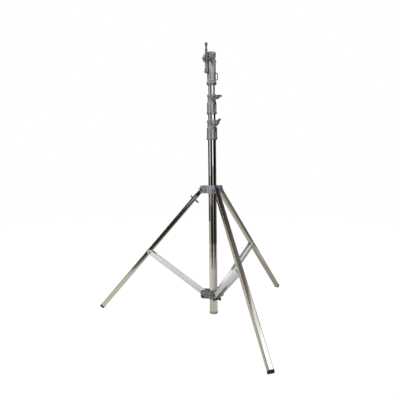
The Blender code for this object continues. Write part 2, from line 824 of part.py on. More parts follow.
def build_arm(arm_frame, mats):
    """The folding side arm: its origin frame sits on the pin."""
    pivot = add_frame("arm_pivot", (ARM_PIVOT_RADIUS, 0.0, ARM_PIVOT_HEIGHT), parent=arm_frame)
    inner = ARM_RADIUS - ARM_DEPTH / 2 - ARM_PIVOT_RADIUS
    outer = inner + ARM_DEPTH
    top = ARM_TOP_HEIGHT - ARM_PIVOT_HEIGHT
    outline = [
        (inner, ARM_FORK_SLOT_TOP),
        (outer, ARM_FORK_SLOT_TOP),
        (outer, top - 0.0060),
        (outer - 0.0030, top),
        (inner + 0.0030, top),
        (inner, top - 0.0060),
    ]
    arm = slab("side_arm", outline, -ARM_WIDTH / 2, ARM_WIDTH / 2, "Y", mats["casting"], pivot)
    bevel = arm.modifiers.new("edge", "BEVEL")
    bevel.width = 0.0012
    bevel.segments = 1
    bevel.limit_method = "ANGLE"
    bevel.angle_limit = math.radians(60.0)
    fork_outline = arc((0.0, 0.0), ARM_EYE_RADIUS - GAP, -160.0, -20.0, 6)
    fork_outline += [(outer + 0.0010, 0.0020), (outer + 0.0010, ARM_FORK_TOP - 0.0030)]
    fork_outline += [(outer - 0.0010, ARM_FORK_TOP), (inner, ARM_FORK_TOP)]
    half_fork = ARM_FORK_WIDTH / 2
    join(arm, slab("side_arm_fork", fork_outline, -half_fork, half_fork, "Y", mats["casting"], pivot))
    gap_outline = [
        (-0.0300, -0.0200),
        (0.0300, -0.0200),
        (0.0300, ARM_FORK_SLOT_TOP),
        (-0.0300, ARM_FORK_SLOT_TOP),
    ]
    half_gap = LUG_THICKNESS / 2 + GAP
    cut(arm, slab("side_arm_gap", gap_outline, -half_gap, half_gap, "Y", mats["casting"], pivot))
    slot_outline = [
        (outer - ARM_SLOT_DEPTH, 0.0240),
        (outer + 0.0050, 0.0200),
        (outer + 0.0050, top - 0.0100),
        (outer - ARM_SLOT_DEPTH, top - 0.0140),
    ]
    half_slot = ARM_SLOT_WIDTH / 2
    cut(arm, slab("side_arm_slot", slot_outline, -half_slot, half_slot, "Y", mats["casting"], pivot))
    cut(
        arm,
        rod(
            "side_arm_pin_hole",
            ARM_PIN_RADIUS + PIVOT_PLAY,
            -0.0200,
            0.0200,
            BOLT_SEGMENTS,
            mats["casting"],
            pivot,
            along=ALONG_Y,
        ),
    )

    stud_frame = add_frame("stud_axis", (ARM_RADIUS - ARM_PIVOT_RADIUS, 0.0, top), parent=pivot)
    shank = STUD_NECK_RADIUS - 0.0005
    cut(
        arm,
        rod(
            "side_arm_stud_hole",
            shank + GAP,
            -STUD_SHANK_LENGTH - GAP,
            0.0100,
            16,
            mats["casting"],
            stud_frame,
        ),
    )
    stud_profile = [
        (0.0, -STUD_SHANK_LENGTH),
        (shank, -STUD_SHANK_LENGTH),
        (shank, GAP),
        (STUD_RADIUS, GAP),
        (STUD_RADIUS, 0.0025),
        (STUD_NECK_RADIUS, 0.0055),
        (STUD_NECK_RADIUS, STUD_LENGTH - STUD_HEAD_LENGTH),
        (STUD_RADIUS, STUD_LENGTH - STUD_HEAD_LENGTH + 0.0020),
        (STUD_RADIUS, STUD_LENGTH - 0.0020),
        (STUD_RADIUS - 0.0020, STUD_LENGTH),
        (0.0, STUD_LENGTH),
    ]
    revolve("stud", stud_profile, 14, mats["steel"], stud_frame)

    screw_height = HEAD_SCREW_HEIGHT - ARM_PIVOT_HEIGHT
    spin = add_frame(
        "arm_screw_axis", (-ARM_PIVOT_RADIUS, 0.0, screw_height), (90.0, 0.0, 0.0), pivot
    )
    start = ARM_RADIUS + ARM_DEPTH / 2 + HANDLE_STANDOFF
    tip = ARM_RADIUS - ARM_DEPTH / 2
    handle = wing_handle(
        "arm_handle", ARM_BAR_HALF, start, mats["casting"], spin, ARM_BAR_WIDTH
    )
    fixed_screw(handle, tip, start, spin, mats["steel"])
    cut(
        arm,
        rod(
            "side_arm_screw_hole",
            SCREW_RADIUS + GAP,
            tip - 0.0050,
            start + 0.0050,
            BOLT_SEGMENTS,
            mats["casting"],
            spin,
            along=ALONG_X,
        ),
    )


# Pressed bracket plates: the local X points midway between two legs
def plate_path(arc_radius, leg_offset, tip, tab):
    """Top view of one plate as (x, y, kind, distance), from wing tip to wing tip."""
    half = math.radians(LEG_STATION_STEP / 2)
    wing_root = math.sqrt(arc_radius**2 - leg_offset**2)
    bend = 0.0030
    distances = [tip, tip - 0.0065, wing_root + 2.2 * bend, wing_root + bend]
    if tab:
        distances = [tip + STOP_TAB_LENGTH, tip + 0.0002, tip, tip - 0.0065]
        distances += [tip - RIB_START, tip - RIB_START - 0.0040, wing_root + 4.5 * bend]
        distances += [wing_root + 2.2 * bend, wing_root + bend]

    def wing_point(distance, side):
        along = (math.cos(half), side * math.sin(half))
        towards_middle = (math.sin(half), -side * math.cos(half))
        return (
            distance * along[0] + leg_offset * towards_middle[0],
            distance * along[1] + leg_offset * towards_middle[1],
        )

    path = [(*wing_point(d, -1.0), "wing", d) for d in distances]
    root = wing_point(wing_root, 1.0)
    root_angle = math.degrees(math.atan2(root[1], root[0]))
    for x, y in arc((0.0, 0.0), arc_radius, -root_angle + 7.0, root_angle - 7.0, 6):
        path.append((x, y, "arc", math.hypot(x, y)))
    plain = [d for d in distances if d <= tip]
    path += [(*wing_point(d, 1.0), "wing", d) for d in reversed(plain)]
    return path


def sheet_offsets(path, thickness):
    """Mitred offsets to the right of the path, one per point."""
    flat = [Vector((x, y)) for x, y, _, _ in path]
    offsets = []
    for index, point in enumerate(flat):
        before = flat[max(index - 1, 0)]
        after = flat[min(index + 1, len(flat) - 1)]
        normals = []
        if index > 0:
            step = (point - before).normalized()
            normals.append(Vector((step.y, -step.x)))
        if index < len(flat) - 1:
            step = (after - point).normalized()
            normals.append(Vector((step.y, -step.x)))
        total = sum(normals, Vector((0.0, 0.0))).normalized()
        offsets.append(total * thickness / total.dot(normals[0]))
    return offsets


def plate_heights(kind, distance, x, tip, top, bottom, lobe, arc_radius):
    """Lower and upper edge of the plate at one point of its path."""
    if distance > tip + 0.0001:
        return 0.0070, 0.0140
    if kind == "arc":
        share = max(0.0, (x / arc_radius - 0.80) / 0.20)
        return -(bottom + (lobe - bottom) * share), top
    if distance > tip - 0.0010:
        return -bottom * 0.55, top * 0.72
    if distance > tip - 0.0100:
        return -bottom * 0.92, top * 0.97
    return -bottom, top


def bracket_plate(name, azimuth, height, sizes, tab, parent, mats):
    arc_radius, leg_offset, tip, top, bottom, lobe = sizes
    frame = radial_frame(name + "_middle", azimuth, height, parent)
    path = plate_path(arc_radius, leg_offset, tip, tab)
    offsets = sheet_offsets(path, PLATE_THICKNESS)
    raised = sheet_offsets(path, RIB_HEIGHT)
    rib_inner = math.sqrt(arc_radius**2 - leg_offset**2) + 0.0080
    bm = bmesh.new()
    inner, outer = [], []
    for (x, y, kind, distance), offset, rib in zip(path, offsets, raised):
        low, high = plate_heights(kind, distance, x, tip, top, bottom, lobe, arc_radius)
        ribbed = kind == "wing" and rib_inner < distance < tip - RIB_START - 0.0010
        rows = (low, high)
        if tab:
            rows = (low, low + (high - low) * 0.22, low + (high - low) * 0.78, high)
        inner.append([])
        outer.append([])
        for row, level in enumerate(rows):
            lift = rib if tab and ribbed and row in (1, 2) else Vector((0.0, 0.0))
            inner[-1].append(bm.verts.new((x + lift.x, y + lift.y, level)))
            outer[-1].append(
                bm.verts.new((x + offset.x + lift.x, y + offset.y + lift.y, level))
            )
    last = len(path) - 1
    top_row = len(inner[0]) - 1
    for index in range(last):
        for row in range(top_row):
            for grid in (inner, outer):
                bm.faces.new(
                    (
                        grid[index][row],
                        grid[index + 1][row],
                        grid[index + 1][row + 1],
                        grid[index][row + 1],
                    )
                )
        for row in (0, top_row):
            bm.faces.new(
                (
                    inner[index][row],
                    inner[index + 1][row],
                    outer[index + 1][row],
                    outer[index][row],
                )
            )
    for index in (0, last):
        for row in range(top_row):
            bm.faces.new(
                (
                    inner[index][row],
                    inner[index][row + 1],
                    outer[index][row + 1],
                    outer[index][row],
                )
            )
    plate = add_mesh_object(name, bm, mats["zinc"], frame)
    return plate, frame


def build_bracket(prefix, height, pivot_radius, sizes, tabs, parent, mats):
    """Three plates between the legs, and the pivot bolts that hold them together."""
    plates = []
    for number, (_, azimuth) in enumerate(STATIONS):
        middle = azimuth + LEG_STATION_STEP / 2
        name = "%s_plate_%d" % (prefix, number + 1)
        plate, frame = bracket_plate(name, middle, height, sizes, tabs, parent, mats)
        plates.append((plate, frame))
        for side in (-1.0, 1.0):
            eye = add_frame(
                "%s_eye_%d" % (name, 1 if side > 0 else 2),
                turn=(0.0, 0.0, side * LEG_STATION_STEP / 2),
                parent=frame,
            )
            centre = add_frame(eye.name + "_centre", (pivot_radius, 0.0, 0.0), parent=eye)
            hole = rod(
                eye.name + "_hole",
                BOLT_RADIUS + PIVOT_PLAY,
                -0.0300,
                0.0300,
                BOLT_SEGMENTS,
                mats["zinc"],
                centre,
                along=ALONG_Y,
            )
            cut(plate, hole)
    for station, azimuth in STATIONS:
        frame = radial_frame("%s_%s_axis" % (prefix, station), azimuth, height, parent)
        centre = add_frame(frame.name + "_bolt", (pivot_radius, 0.0, 0.0), parent=frame)
        bolt(
            "%s_bolt_%s" % (prefix, station),
            sizes[1] + PLATE_THICKNESS + GAP,
            BOLT_RADIUS,
            BOLT_HEAD_RADIUS,
            BOLT_HEAD_HEIGHT,
            mats["steel"],
            centre,
        )
    return plates


def build_hub(parent, mats):
    """The upper bracket, which slides on the column with the legs."""
    sleeve_inner = COLUMN_RADIUS + SLIDE_PLAY
    sleeve_outer = sleeve_inner + SLEEVE_WALL
    lower = HUB_Z - SLEEVE_HEIGHT / 2
    sleeve = tube(
        "hub_sleeve",
        sleeve_outer,
        SLEEVE_WALL,
        lower,
        lower + SLEEVE_HEIGHT,
        20,
        mats["zinc"],
        parent,
    )
    sizes = (
        sleeve_outer + GAP,
        LEG_SIDE / 2 + PLATE_SIDE_PLAY,
        HUB_RADIUS + HUB_PLATE_REACH,
        HUB_PLATE_TOP,
        HUB_PLATE_BOTTOM,
        HUB_PLATE_LOBE,
    )
    plates = build_bracket("hub", HUB_Z, HUB_RADIUS, sizes, True, parent, mats)

    back_azimuth = STATIONS[1][1] + LEG_STATION_STEP / 2
    lock_frame = radial_frame("hub_lock_axis", back_azimuth, HUB_Z, parent)
    start = sleeve_outer + GAP + PLATE_THICKNESS + 0.0070
    tip = COLUMN_RADIUS + 2 * GAP
    handle = wing_handle("hub_lock_handle", BRACKET_BAR_HALF, start, mats["casting"], lock_frame)
    fixed_screw(handle, tip, start, lock_frame, mats["steel"])
    for target, label in ((sleeve, "sleeve"), (plates[1][0], "plate")):
        hole = rod(
            "hub_lock_hole_" + label,
            SCREW_RADIUS + GAP,
            COLUMN_RADIUS * 0.5,
            start + 0.0050,
            BOLT_SEGMENTS,
            mats["zinc"],
            lock_frame,
            along=ALONG_X,
        )
        cut(target, hole)


def build_base(mats):
    """The lower bracket, fixed on the column, which holds the braces."""
    brace_half = LEG_SIDE / 2 + BRACE_SIDE_PLAY + BRACE_WALL
    sizes = (
        COLUMN_RADIUS + GAP,
        brace_half + PLATE_SIDE_PLAY,
        BASE_RADIUS + BASE_PLATE_REACH,
        BASE_PLATE_TOP,
        BASE_PLATE_BOTTOM,
        BASE_PLATE_LOBE,
    )
    plates = build_bracket("base", BASE_Z, BASE_RADIUS, sizes, False, None, mats)
    lean = math.radians(brace_geometry()[1])
    below = BRACE_DEPTH / 2 + STOP_CLEARANCE + BOLT_RADIUS
    stop_radius = BASE_RADIUS + STOP_ALONG * math.sin(lean) + below * math.cos(lean)
    stop_height = STOP_ALONG * math.cos(lean) - below * math.sin(lean)
    for plate, frame in plates:
        for side in (-1.0, 1.0):
            label = "%s_stop_%d" % (plate.name, 1 if side > 0 else 2)
            turned = add_frame(label, turn=(0.0, 0.0, side * LEG_STATION_STEP / 2), parent=frame)
            centre = add_frame(label + "_centre", (stop_radius, 0.0, stop_height), parent=turned)
            hole = rod(
                label + "_hole",
                BOLT_RADIUS + PIVOT_PLAY,
                -0.0300,
                0.0300,
                BOLT_SEGMENTS,
                mats["zinc"],
                centre,
                along=ALONG_Y,
            )
            cut(plate, hole)
    for station, azimuth in STATIONS:
        frame = radial_frame("base_%s_stop_axis" % station, azimuth, BASE_Z)
        centre = add_frame(frame.name + "_bolt", (stop_radius, 0.0, stop_height), parent=frame)
        bolt(
            "brace_stop_" + station,
            sizes[1] + PLATE_THICKNESS + GAP,
            BOLT_RADIUS,
            STOP_HEAD_RADIUS,
            STOP_HEAD_HEIGHT,
            mats["black_steel"],
            centre,
        )


# Legs: each hangs along its own -Z from the pivot, and X faces outwards
def leg_length():
    """Distance along the leg from the pivot to the floor."""
    return HUB_Z / math.cos(math.radians(LEG_SPREAD))


def pivot_hole(target, radius, parent, mats):
    hole = rod(
        target.name + "_pivot_hole",
        radius,
        -0.0300,
        0.0300,
        BOLT_SEGMENTS,
        mats["steel"],
        parent,
        along=ALONG_Y,
    )
    cut(target, hole)


def build_foot(name, parent, mats):
    """A square rubber cap on the tube's end, whose lowest edge is cut level with the floor."""
    half = LEG_SIDE / 2 + GAP + FOOT_WALL
    spread = math.radians(LEG_SPREAD)
    cap_end = (HUB_Z + FOOT_TREAD_CUT - half * math.sin(spread)) / math.cos(spread)
    tube_end = cap_end - FOOT_SOLE
    corner = LEG_CORNER + FOOT_WALL
    outline = rounded_square(half, corner)
    cap_top = -tube_end + FOOT_CUP_DEPTH
    boot = slab(name, outline, -cap_end, cap_top, "Z", mats["rubber"], parent)
    pocket = rounded_square(LEG_SIDE / 2 + GAP, LEG_CORNER)
    cut(boot, slab(name + "_pocket", pocket, -tube_end - GAP, 0.0, "Z", mats["rubber"], parent))
    reach = 0.1000
    floor_frame = add_frame(
        name + "_floor", (0.0, 0.0, -leg_length()), (0.0, LEG_SPREAD, 0.0), parent
    )
    below = [(-reach, -reach), (reach, -reach), (reach, 0.0), (-reach, 0.0)]
    cut(boot, slab(name + "_ground", below, -reach, reach, "Y", mats["rubber"], floor_frame))
    return tube_end


def build_leg(station, azimuth, hub_frame, mats):
    frame = radial_frame("leg_%s_station" % station, azimuth, HUB_Z, hub_frame)
    pivot = add_frame(
        "leg_%s_pivot" % station, (HUB_RADIUS, 0.0, 0.0), (0.0, -LEG_SPREAD, 0.0), frame
    )
    tube_end = build_foot("foot_" + station, pivot, mats)
    if station == "level":
        build_level_leg(pivot, tube_end, mats)
        return
    leg = square_tube(
        "leg_" + station,
        LEG_SIDE,
        LEG_WALL,
        LEG_CORNER,
        -tube_end,
        LEG_TOP_OVERHANG,
        mats["leg_chrome"],
        pivot,
    )
    pivot_hole(leg, BOLT_RADIUS + PIVOT_PLAY, pivot, mats)


def build_level_leg(pivot, tube_end, mats):
    """The levelling leg: a bar on the pivot and the outer tube that slides on it."""
    bar_half = LEG_SIDE / 2 - LEG_WALL - SLIDE_PLAY
    bar = slab(
        "level_bar",
        rounded_square(bar_half, LEG_CORNER - LEG_WALL + SLIDE_PLAY),
        -LEVEL_BAR_LENGTH,
        LEG_TOP_OVERHANG - 0.0010,
        "Z",
        mats["black_steel"],
        pivot,
    )
    eye = rod(
        "level_bar_eye",
        BOLT_HEAD_RADIUS + 0.0010,
        -LEG_SIDE / 2,
        LEG_SIDE / 2,
        16,
        mats["black_steel"],
        pivot,
        along=ALONG_Y,
    )
    join(bar, eye)
    pivot_hole(bar, BOLT_RADIUS + PIVOT_PLAY, pivot, mats)
    sleeve = square_tube(
        "leg_level",
        LEG_SIDE,
        LEG_WALL,
        LEG_CORNER,
        -tube_end,
        -LEVEL_TUBE_TOP,
        mats["leg_chrome"],
        pivot,
    )
    screw_axis = add_frame(
        "level_screw_axis", (0.0, 0.0, -LEVEL_SCREW_ALONG), (0.0, 0.0, -90.0), pivot
    )
    face = LEG_SIDE / 2 + GAP
    boss_end = face + LEVEL_BOSS_LENGTH
    boss_profile = [
        (SCREW_RADIUS + GAP, face),
        (SCREW_RADIUS + GAP, boss_end),
        (LEVEL_BOSS_RADIUS - 0.0015, boss_end),
        (LEVEL_BOSS_RADIUS, boss_end - 0.0015),
        (LEVEL_BOSS_RADIUS, face),
    ]
    revolve(
        "level_clamp_boss", boss_profile, 14, mats["zinc"], screw_axis, closed=True, along=ALONG_X
    )
    tip = bar_half + 2 * GAP
    start = boss_end + HANDLE_STANDOFF
    spin = add_frame("level_screw_spin", parent=screw_axis)
    handle = wing_handle(
        "level_handle", LEVEL_BAR_HALF, start, mats["casting"], spin, LEVEL_BAR_WIDTH
    )
    fixed_screw(handle, tip, start, spin, mats["steel"])
    hole = rod(
        "leg_level_screw_hole",
        SCREW_RADIUS + GAP,
        bar_half * 0.5,
        face + 0.0050,
        BOLT_SEGMENTS,
        mats["leg_chrome"],
        screw_axis,
        along=ALONG_X,
    )
    cut(sleeve, hole)


# Braces: each rises along its own Z from the lower pivot, open towards +X
def brace_geometry():
    """Length between the brace's pivots and its lean from the vertical in degrees."""
    spread = math.radians(LEG_SPREAD)
    along = BRACE_JOINT_ALONG
    below = BRACE_JOINT_BELOW
    radius = HUB_RADIUS + along * math.sin(spread) - below * math.cos(spread)
    height = HUB_Z - along * math.cos(spread) - below * math.sin(spread)
    run = radius - BASE_RADIUS
    rise = height - BASE_Z
    return math.hypot(run, rise), math.degrees(math.atan2(run, rise))


def build_brace(station, azimuth, mats):
    length, lean = brace_geometry()
    frame = radial_frame("brace_%s_station" % station, azimuth, BASE_Z)
    pivot = add_frame("brace_%s_pivot" % station, (BASE_RADIUS, 0.0, 0.0), (0.0, lean, 0.0), frame)
    inner = LEG_SIDE / 2 + BRACE_SIDE_PLAY
    outer = inner + BRACE_WALL
    depth = BRACE_DEPTH / 2
    outline = arc((0.0, length), depth, 0.0, 180.0, 8)
    outline += arc((0.0, 0.0), depth, 180.0, 360.0, 8)
    name = "brace_" + station
    brace = slab(name, outline, -outer, outer, "Y", mats["brace"], pivot)
    web_end = BRACE_WEB_START + BRACE_WEB_SHARE * length
    trough = [
        (-depth + BRACE_WALL, BRACE_WEB_START),
        (-depth - 0.0050, BRACE_WEB_START - 0.0050),
        (-depth - 0.0050, -depth - 0.0050),
        (depth + 0.0050, -depth - 0.0050),
        (depth + 0.0050, length + depth + 0.0050),
        (-depth - 0.0050, length + depth + 0.0050),
        (-depth - 0.0050, web_end),
        (-depth + BRACE_WALL, web_end - 0.0100),
    ]
    cut(brace, slab(name + "_trough", trough, -inner, inner, "Y", mats["brace"], pivot))
    pivot_hole(brace, BOLT_RADIUS + PIVOT_PLAY, pivot, mats)

    tip = add_frame(name + "_tip", (0.0, 0.0, length), parent=pivot)
    tip_hole = rod(
        name + "_tip_hole",
        BOLT_RADIUS + PIVOT_PLAY,
        -0.0300,
        0.0300,
        BOLT_SEGMENTS,
        mats["brace"],
        tip,
        along=ALONG_Y,
    )
    cut(brace, tip_hole)
    for label, side in (("head", 1.0), ("nut", -1.0)):
        facing = add_frame("%s_%s_face" % (name, label), turn=(0.0, 0.0, 90.0 * side), parent=tip)
        stub_profile = [
            (0.0, inner),
            (BOLT_RADIUS, inner),
            (BOLT_RADIUS, outer + GAP),
            (BOLT_HEAD_RADIUS, outer + GAP),
            (BOLT_HEAD_RADIUS * 0.8, outer + BOLT_HEAD_HEIGHT),
            (0.0, outer + BOLT_HEAD_HEIGHT),
        ]
        revolve(
            "%s_tip_%s" % (name, label),
            stub_profile,
            BOLT_SEGMENTS,
            mats["steel"],
            facing,
            along=ALONG_X,
        )


def main():
    clear_scene()
    mats = make_materials()
    build_column(mats)
    build_collar(
        "lower", LOWER_COLLAR_Z, COLUMN_RADIUS, RISER_1_RADIUS, LOWER_HANDLE_TILT, None, mats
    )
    riser_1 = add_frame("riser_1_slide")
    build_riser(
        "riser_1",
        RISER_1_RADIUS,
        RISER_1_WALL,
        COLUMN_RADIUS - COLUMN_WALL,
        RISER_1_FOOT_Z,
        UPPER_COLLAR_Z + COLLAR_TUBE_DEPTH,
        riser_1,
        mats,
    )
    build_collar(
        "upper", UPPER_COLLAR_Z, RISER_1_RADIUS, RISER_2_RADIUS, UPPER_HANDLE_TILT, riser_1, mats
    )
    riser_2 = add_frame("riser_2_slide", parent=riser_1)
    build_riser(
        "riser_2",
        RISER_2_RADIUS,
        RISER_2_WALL,
        RISER_1_RADIUS - RISER_1_WALL,
        RISER_2_FOOT_Z,
        HEAD_Z + HEAD_RISER_DEPTH,
        riser_2,
        mats,
    )
    arm_frame = build_head(riser_2, mats)
    build_arm(arm_frame, mats)
    hub = add_frame("hub_slide")
    build_hub(hub, mats)
    build_base(mats)
    for station, azimuth in STATIONS:
        build_leg(station, azimuth, hub, mats)
        build_brace(station, azimuth, mats)


main()
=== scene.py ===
from math import atan2, cos, hypot, radians, sin, sqrt, tan

import bpy
from mathutils import Matrix, Vector


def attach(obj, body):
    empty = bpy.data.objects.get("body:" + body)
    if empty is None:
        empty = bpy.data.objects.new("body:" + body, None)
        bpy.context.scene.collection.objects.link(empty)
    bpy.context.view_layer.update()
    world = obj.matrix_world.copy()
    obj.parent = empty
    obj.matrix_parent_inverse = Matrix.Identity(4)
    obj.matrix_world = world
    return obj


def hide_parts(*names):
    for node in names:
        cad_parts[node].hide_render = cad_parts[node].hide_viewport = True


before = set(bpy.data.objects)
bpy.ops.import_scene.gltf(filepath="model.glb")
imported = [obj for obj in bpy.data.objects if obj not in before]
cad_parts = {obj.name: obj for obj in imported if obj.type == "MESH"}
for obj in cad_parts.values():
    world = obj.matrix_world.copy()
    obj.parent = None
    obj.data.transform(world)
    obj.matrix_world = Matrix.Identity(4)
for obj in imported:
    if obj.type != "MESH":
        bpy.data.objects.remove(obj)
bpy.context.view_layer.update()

# Sizes shared with the frame, in metres; azimuths in degrees from the camera's side
COLUMN = 0.0225
COLUMN_WALL = 0.002
COLUMN_FOOT = 0.0105
RISER_1 = 0.02
RISER_2 = 0.0175
RISER_WALL = 0.0018
RISER_1_FOOT = 0.12
RISER_2_FOOT = 0.19
GAP = 0.0003
LOWER_COLLAR = 0.9925
UPPER_COLLAR = 1.131
COLLAR_HEIGHT = 0.1075
COLLAR_TUBE_DEPTH = 0.058
COLLAR_SCREW = 0.086
COLLAR_AZIMUTH = 35.0
HEAD = 1.2865
HEAD_RADIUS = 0.0235
HEAD_TUBE_DEPTH = 0.06
HEAD_SCREW = 0.137
HEAD_AZIMUTH = 7.0
SOCKET = 0.0145
BOSS_REACH = 0.036
SCREW_END = 0.049
ARM_AZIMUTH = -52.0
ARM_RADIUS = 0.034
ARM_PIVOT = 0.036
ARM_PIVOT_HEIGHT = 0.07
ARM_TOP = 0.181
HUB = 0.7165
HUB_RADIUS = 0.062
SPREAD = radians(41.4)
BASE = 0.1165
BASE_RADIUS = 0.0395
PLATE = 0.0025
LEG_SIDE = 0.025
CAP_HALF = LEG_SIDE / 2 + 0.0009
CAP_END = (HUB + 0.0035 - CAP_HALF * sin(SPREAD)) / cos(SPREAD)
LEVEL_CLAMP = -0.074
BRACE_LENGTH = 0.40891
BRACE_LEAN = radians(54.61)
BRACE_HALF = 0.0125
BRACE_SHEET = 0.002
HUB_SIDE = LEG_SIDE / 2 + 0.0006
BRACE_SIDE = LEG_SIDE / 2 + 0.0005
STATIONS = {"front": 19.5, "rear": 139.5, "level": -100.5}
LEG_BODIES = {"front": "leg_front", "rear": "leg_rear", "level": "level_leg"}
SINE_60 = sin(radians(60.0))


# Places
def spun(degrees, axis):
    return Matrix.Rotation(radians(degrees), 4, axis)


def shifted(x=0.0, y=0.0, z=0.0):
    return Matrix.Translation((x, y, z))


def station(azimuth, height=0.0, reach=0.0):
    """A place beside the column whose X points out along an azimuth."""
    return shifted(z=height) @ spun(azimuth - 90.0, "Z") @ shifted(reach)


def leg_place(name):
    """A leg's pivot: the leg hangs along -Z and its outer face looks along X."""
    return station(STATIONS[name], HUB, HUB_RADIUS) @ Matrix.Rotation(-SPREAD, 4, "Y")


def level_clamp_place():
    """The levelling leg's clamp: its screw lies along X, on the leg's side."""
    return leg_place("level") @ shifted(z=LEVEL_CLAMP) @ spun(-90.0, "Z")


def brace_place(name):
    """A brace's lower pivot: the brace rises along Z."""
    return station(STATIONS[name], BASE, BASE_RADIUS) @ Matrix.Rotation(BRACE_LEAN, 4, "Y")


def arm_place():
    """The side arm's pivot: the arm stands along Z, outside the head."""
    return station(ARM_AZIMUTH, HEAD + ARM_PIVOT_HEIGHT, ARM_PIVOT)


def facing(axis):
    """Turns what stands along Z so that it lies along X or Y."""
    return spun(90.0, "Y") if axis == "X" else spun(-90.0, "X")


# Shaping by hand: a piece starts as a primitive near the origin and is put in place at the end.
# Corners closer than SAME become one, places are told apart by NEAR, and a direction lies along
# an axis from ALONG on
SAME = 0.000002
NEAR = 0.0001
ALONG = 0.9


def choose_none():
    bpy.ops.object.select_all(action="DESELECT")


def settle():
    """Keeps the place, turn and scale of the chosen piece in its mesh."""
    bpy.ops.object.transform_apply(location=True, rotation=True, scale=True)


def hold(piece):
    """Makes one piece the chosen and active one."""
    choose_none()
    piece.select_set(True)
    bpy.context.view_layer.objects.active = piece


def select_all():
    bpy.ops.mesh.select_all(action="SELECT")


def edit_all():
    """Enters edit mode on the active piece, with all of it chosen."""
    bpy.ops.object.mode_set(mode="EDIT")
    bpy.ops.mesh.select_mode(type="VERT")
    select_all()


def done():
    bpy.ops.object.mode_set(mode="OBJECT")


def pick(piece, test, kind="FACE"):
    """Enters edit mode with the faces, edges or corners chosen by place and direction."""
    hold(piece)
    bpy.ops.object.mode_set(mode="EDIT")
    bpy.ops.mesh.select_mode(type=kind)
    bpy.ops.mesh.select_all(action="DESELECT")
    done()
    mesh = piece.data
    if kind == "FACE":
        for face in mesh.polygons:
            face.select = test(face.center, face.normal)
    elif kind == "EDGE":
        for edge in mesh.edges:
            first, second = (mesh.vertices[v].co for v in edge.vertices)
            edge.select = test((first + second) / 2, (second - first).normalized())
    else:
        for corner in mesh.vertices:
            corner.select = test(corner.co, corner.normal)
    bpy.ops.object.mode_set(mode="EDIT")


def pull(x=0.0, y=0.0, z=0.0):
    """Draws new faces or edges out of the chosen ones."""
    bpy.ops.mesh.extrude_region_move(TRANSFORM_OT_translate={"value": (x, y, z)})


def shift(x=0.0, y=0.0, z=0.0):
    bpy.ops.transform.translate(value=(x, y, z))


def stretch(share, centre):
    bpy.ops.transform.resize(value=share, center_override=centre)


def inset(thickness, depth=0.0, each=False):
    bpy.ops.mesh.inset(thickness=thickness, depth=depth, use_individual=each)


def face_out():
    select_all()
    bpy.ops.mesh.normals_make_consistent(inside=False)


def drawn(radius, height, *points):
    """Profile points given in millimetres from a radius and a height in metres."""
    return [(radius + out / 1000, height + up / 1000) for out, up in points]


def named(name):
    """Names what was made last."""
    piece = bpy.context.object
    piece.name = name
    return piece


def block(name, low, high):
    """A cuboid between two corners, the start of a boxy piece."""
    middle = [(a + b) / 2 for a, b in zip(low, high)]
    size = [b - a for a, b in zip(low, high)]
    bpy.ops.mesh.primitive_cube_add(size=1.0, location=middle, scale=size)
    piece = named(name)
    settle()
    return piece


def turned(name, profile, sides=64, hollow=False):
    """A ring drawn out along a profile of (radius, height) points, as on a lathe."""
    radius, height = profile[0]
    bpy.ops.mesh.primitive_circle_add(vertices=sides, radius=radius, location=(0.0, 0.0, height))
    piece = named(name)
    settle()
    edit_all()
    points = profile + [profile[0]] if hollow else profile
    for (before, low), (after, high) in zip(points, points[1:]):
        pull(z=high - low)
        share = after / before
        stretch((share, share, 1.0), (0.0, 0.0, high))
    select_all()
    if hollow:
        bpy.ops.mesh.remove_doubles(threshold=SAME)
    else:
        bpy.ops.mesh.fill_holes(sides=0)
    face_out()
    done()
    return piece


def ring(name, bore, radius, low, high, sides=48):
    """A plain ring between two heights."""
    profile = [(bore, low), (radius, low), (radius, high), (bore, high)]
    return turned(name, profile, sides, hollow=True)


def rounded(piece, width, segments=2, angle=30.0):
    """Breaks the sharp edges of a piece."""
    hold(piece)
    edge = piece.modifiers.new("edge", "BEVEL")
    edge.width = width
    edge.segments = segments
    edge.angle_limit = radians(angle)
    bpy.ops.object.modifier_apply(modifier="edge")
    return piece


def round_corners(bar, width):
    """Rounds the four long edges of an upright bar."""
    pick(bar, lambda at, way: abs(way.z) > ALONG, "EDGE")
    bpy.ops.mesh.bevel(offset=width, segments=6)
    done()


def welded(*pieces):
    """Joins pieces that are cast or welded together; the first one keeps its name."""
    choose_none()
    for piece in pieces:
        piece.select_set(True)
    bpy.context.view_layer.objects.active = pieces[0]
    bpy.ops.object.join()
    return pieces[0]


def moved(piece, place):
    """Puts a piece at a place, with the place kept in its mesh."""
    hold(piece)
    piece.matrix_world = place @ piece.matrix_world
    settle()
    return piece


def copied(piece, name):
    hold(piece)
    bpy.ops.object.duplicate()
    return named(name)


def finished(piece, place, finish, body, slot, *nodes):
    """Places a shaped piece, gives it its finish and lets it ride."""
    moved(piece, place)
    bpy.ops.object.shade_smooth_by_angle(angle=radians(32.0))
    piece.data.materials.clear()
    piece.data.materials.append(finishes[finish])
    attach(piece, body)
    if nodes:
        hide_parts(*nodes)


# Camera, fitted to points of the stand
def set_camera():
    bpy.ops.object.camera_add(location=(-0.0036, -2.1917, 0.845))
    camera = bpy.context.object
    pan, dip, roll = 0.0306, 0.08407, -0.0124
    sensor, focal_pixels, picture_pixels = 36.0, 393.5, 400.0
    tilt = Matrix.Rotation(radians(90.0) - dip, 4, "X")
    turn = Matrix.Rotation(pan, 4, "Z") @ tilt @ Matrix.Rotation(roll, 4, "Z")
    camera.matrix_world = shifted(*camera.location) @ turn
    camera.data.lens = sensor * focal_pixels / picture_pixels
    camera.data.sensor_width = sensor
    camera.data.clip_start = 0.05
    camera.data.clip_end = 60.0
    bpy.context.scene.camera = camera


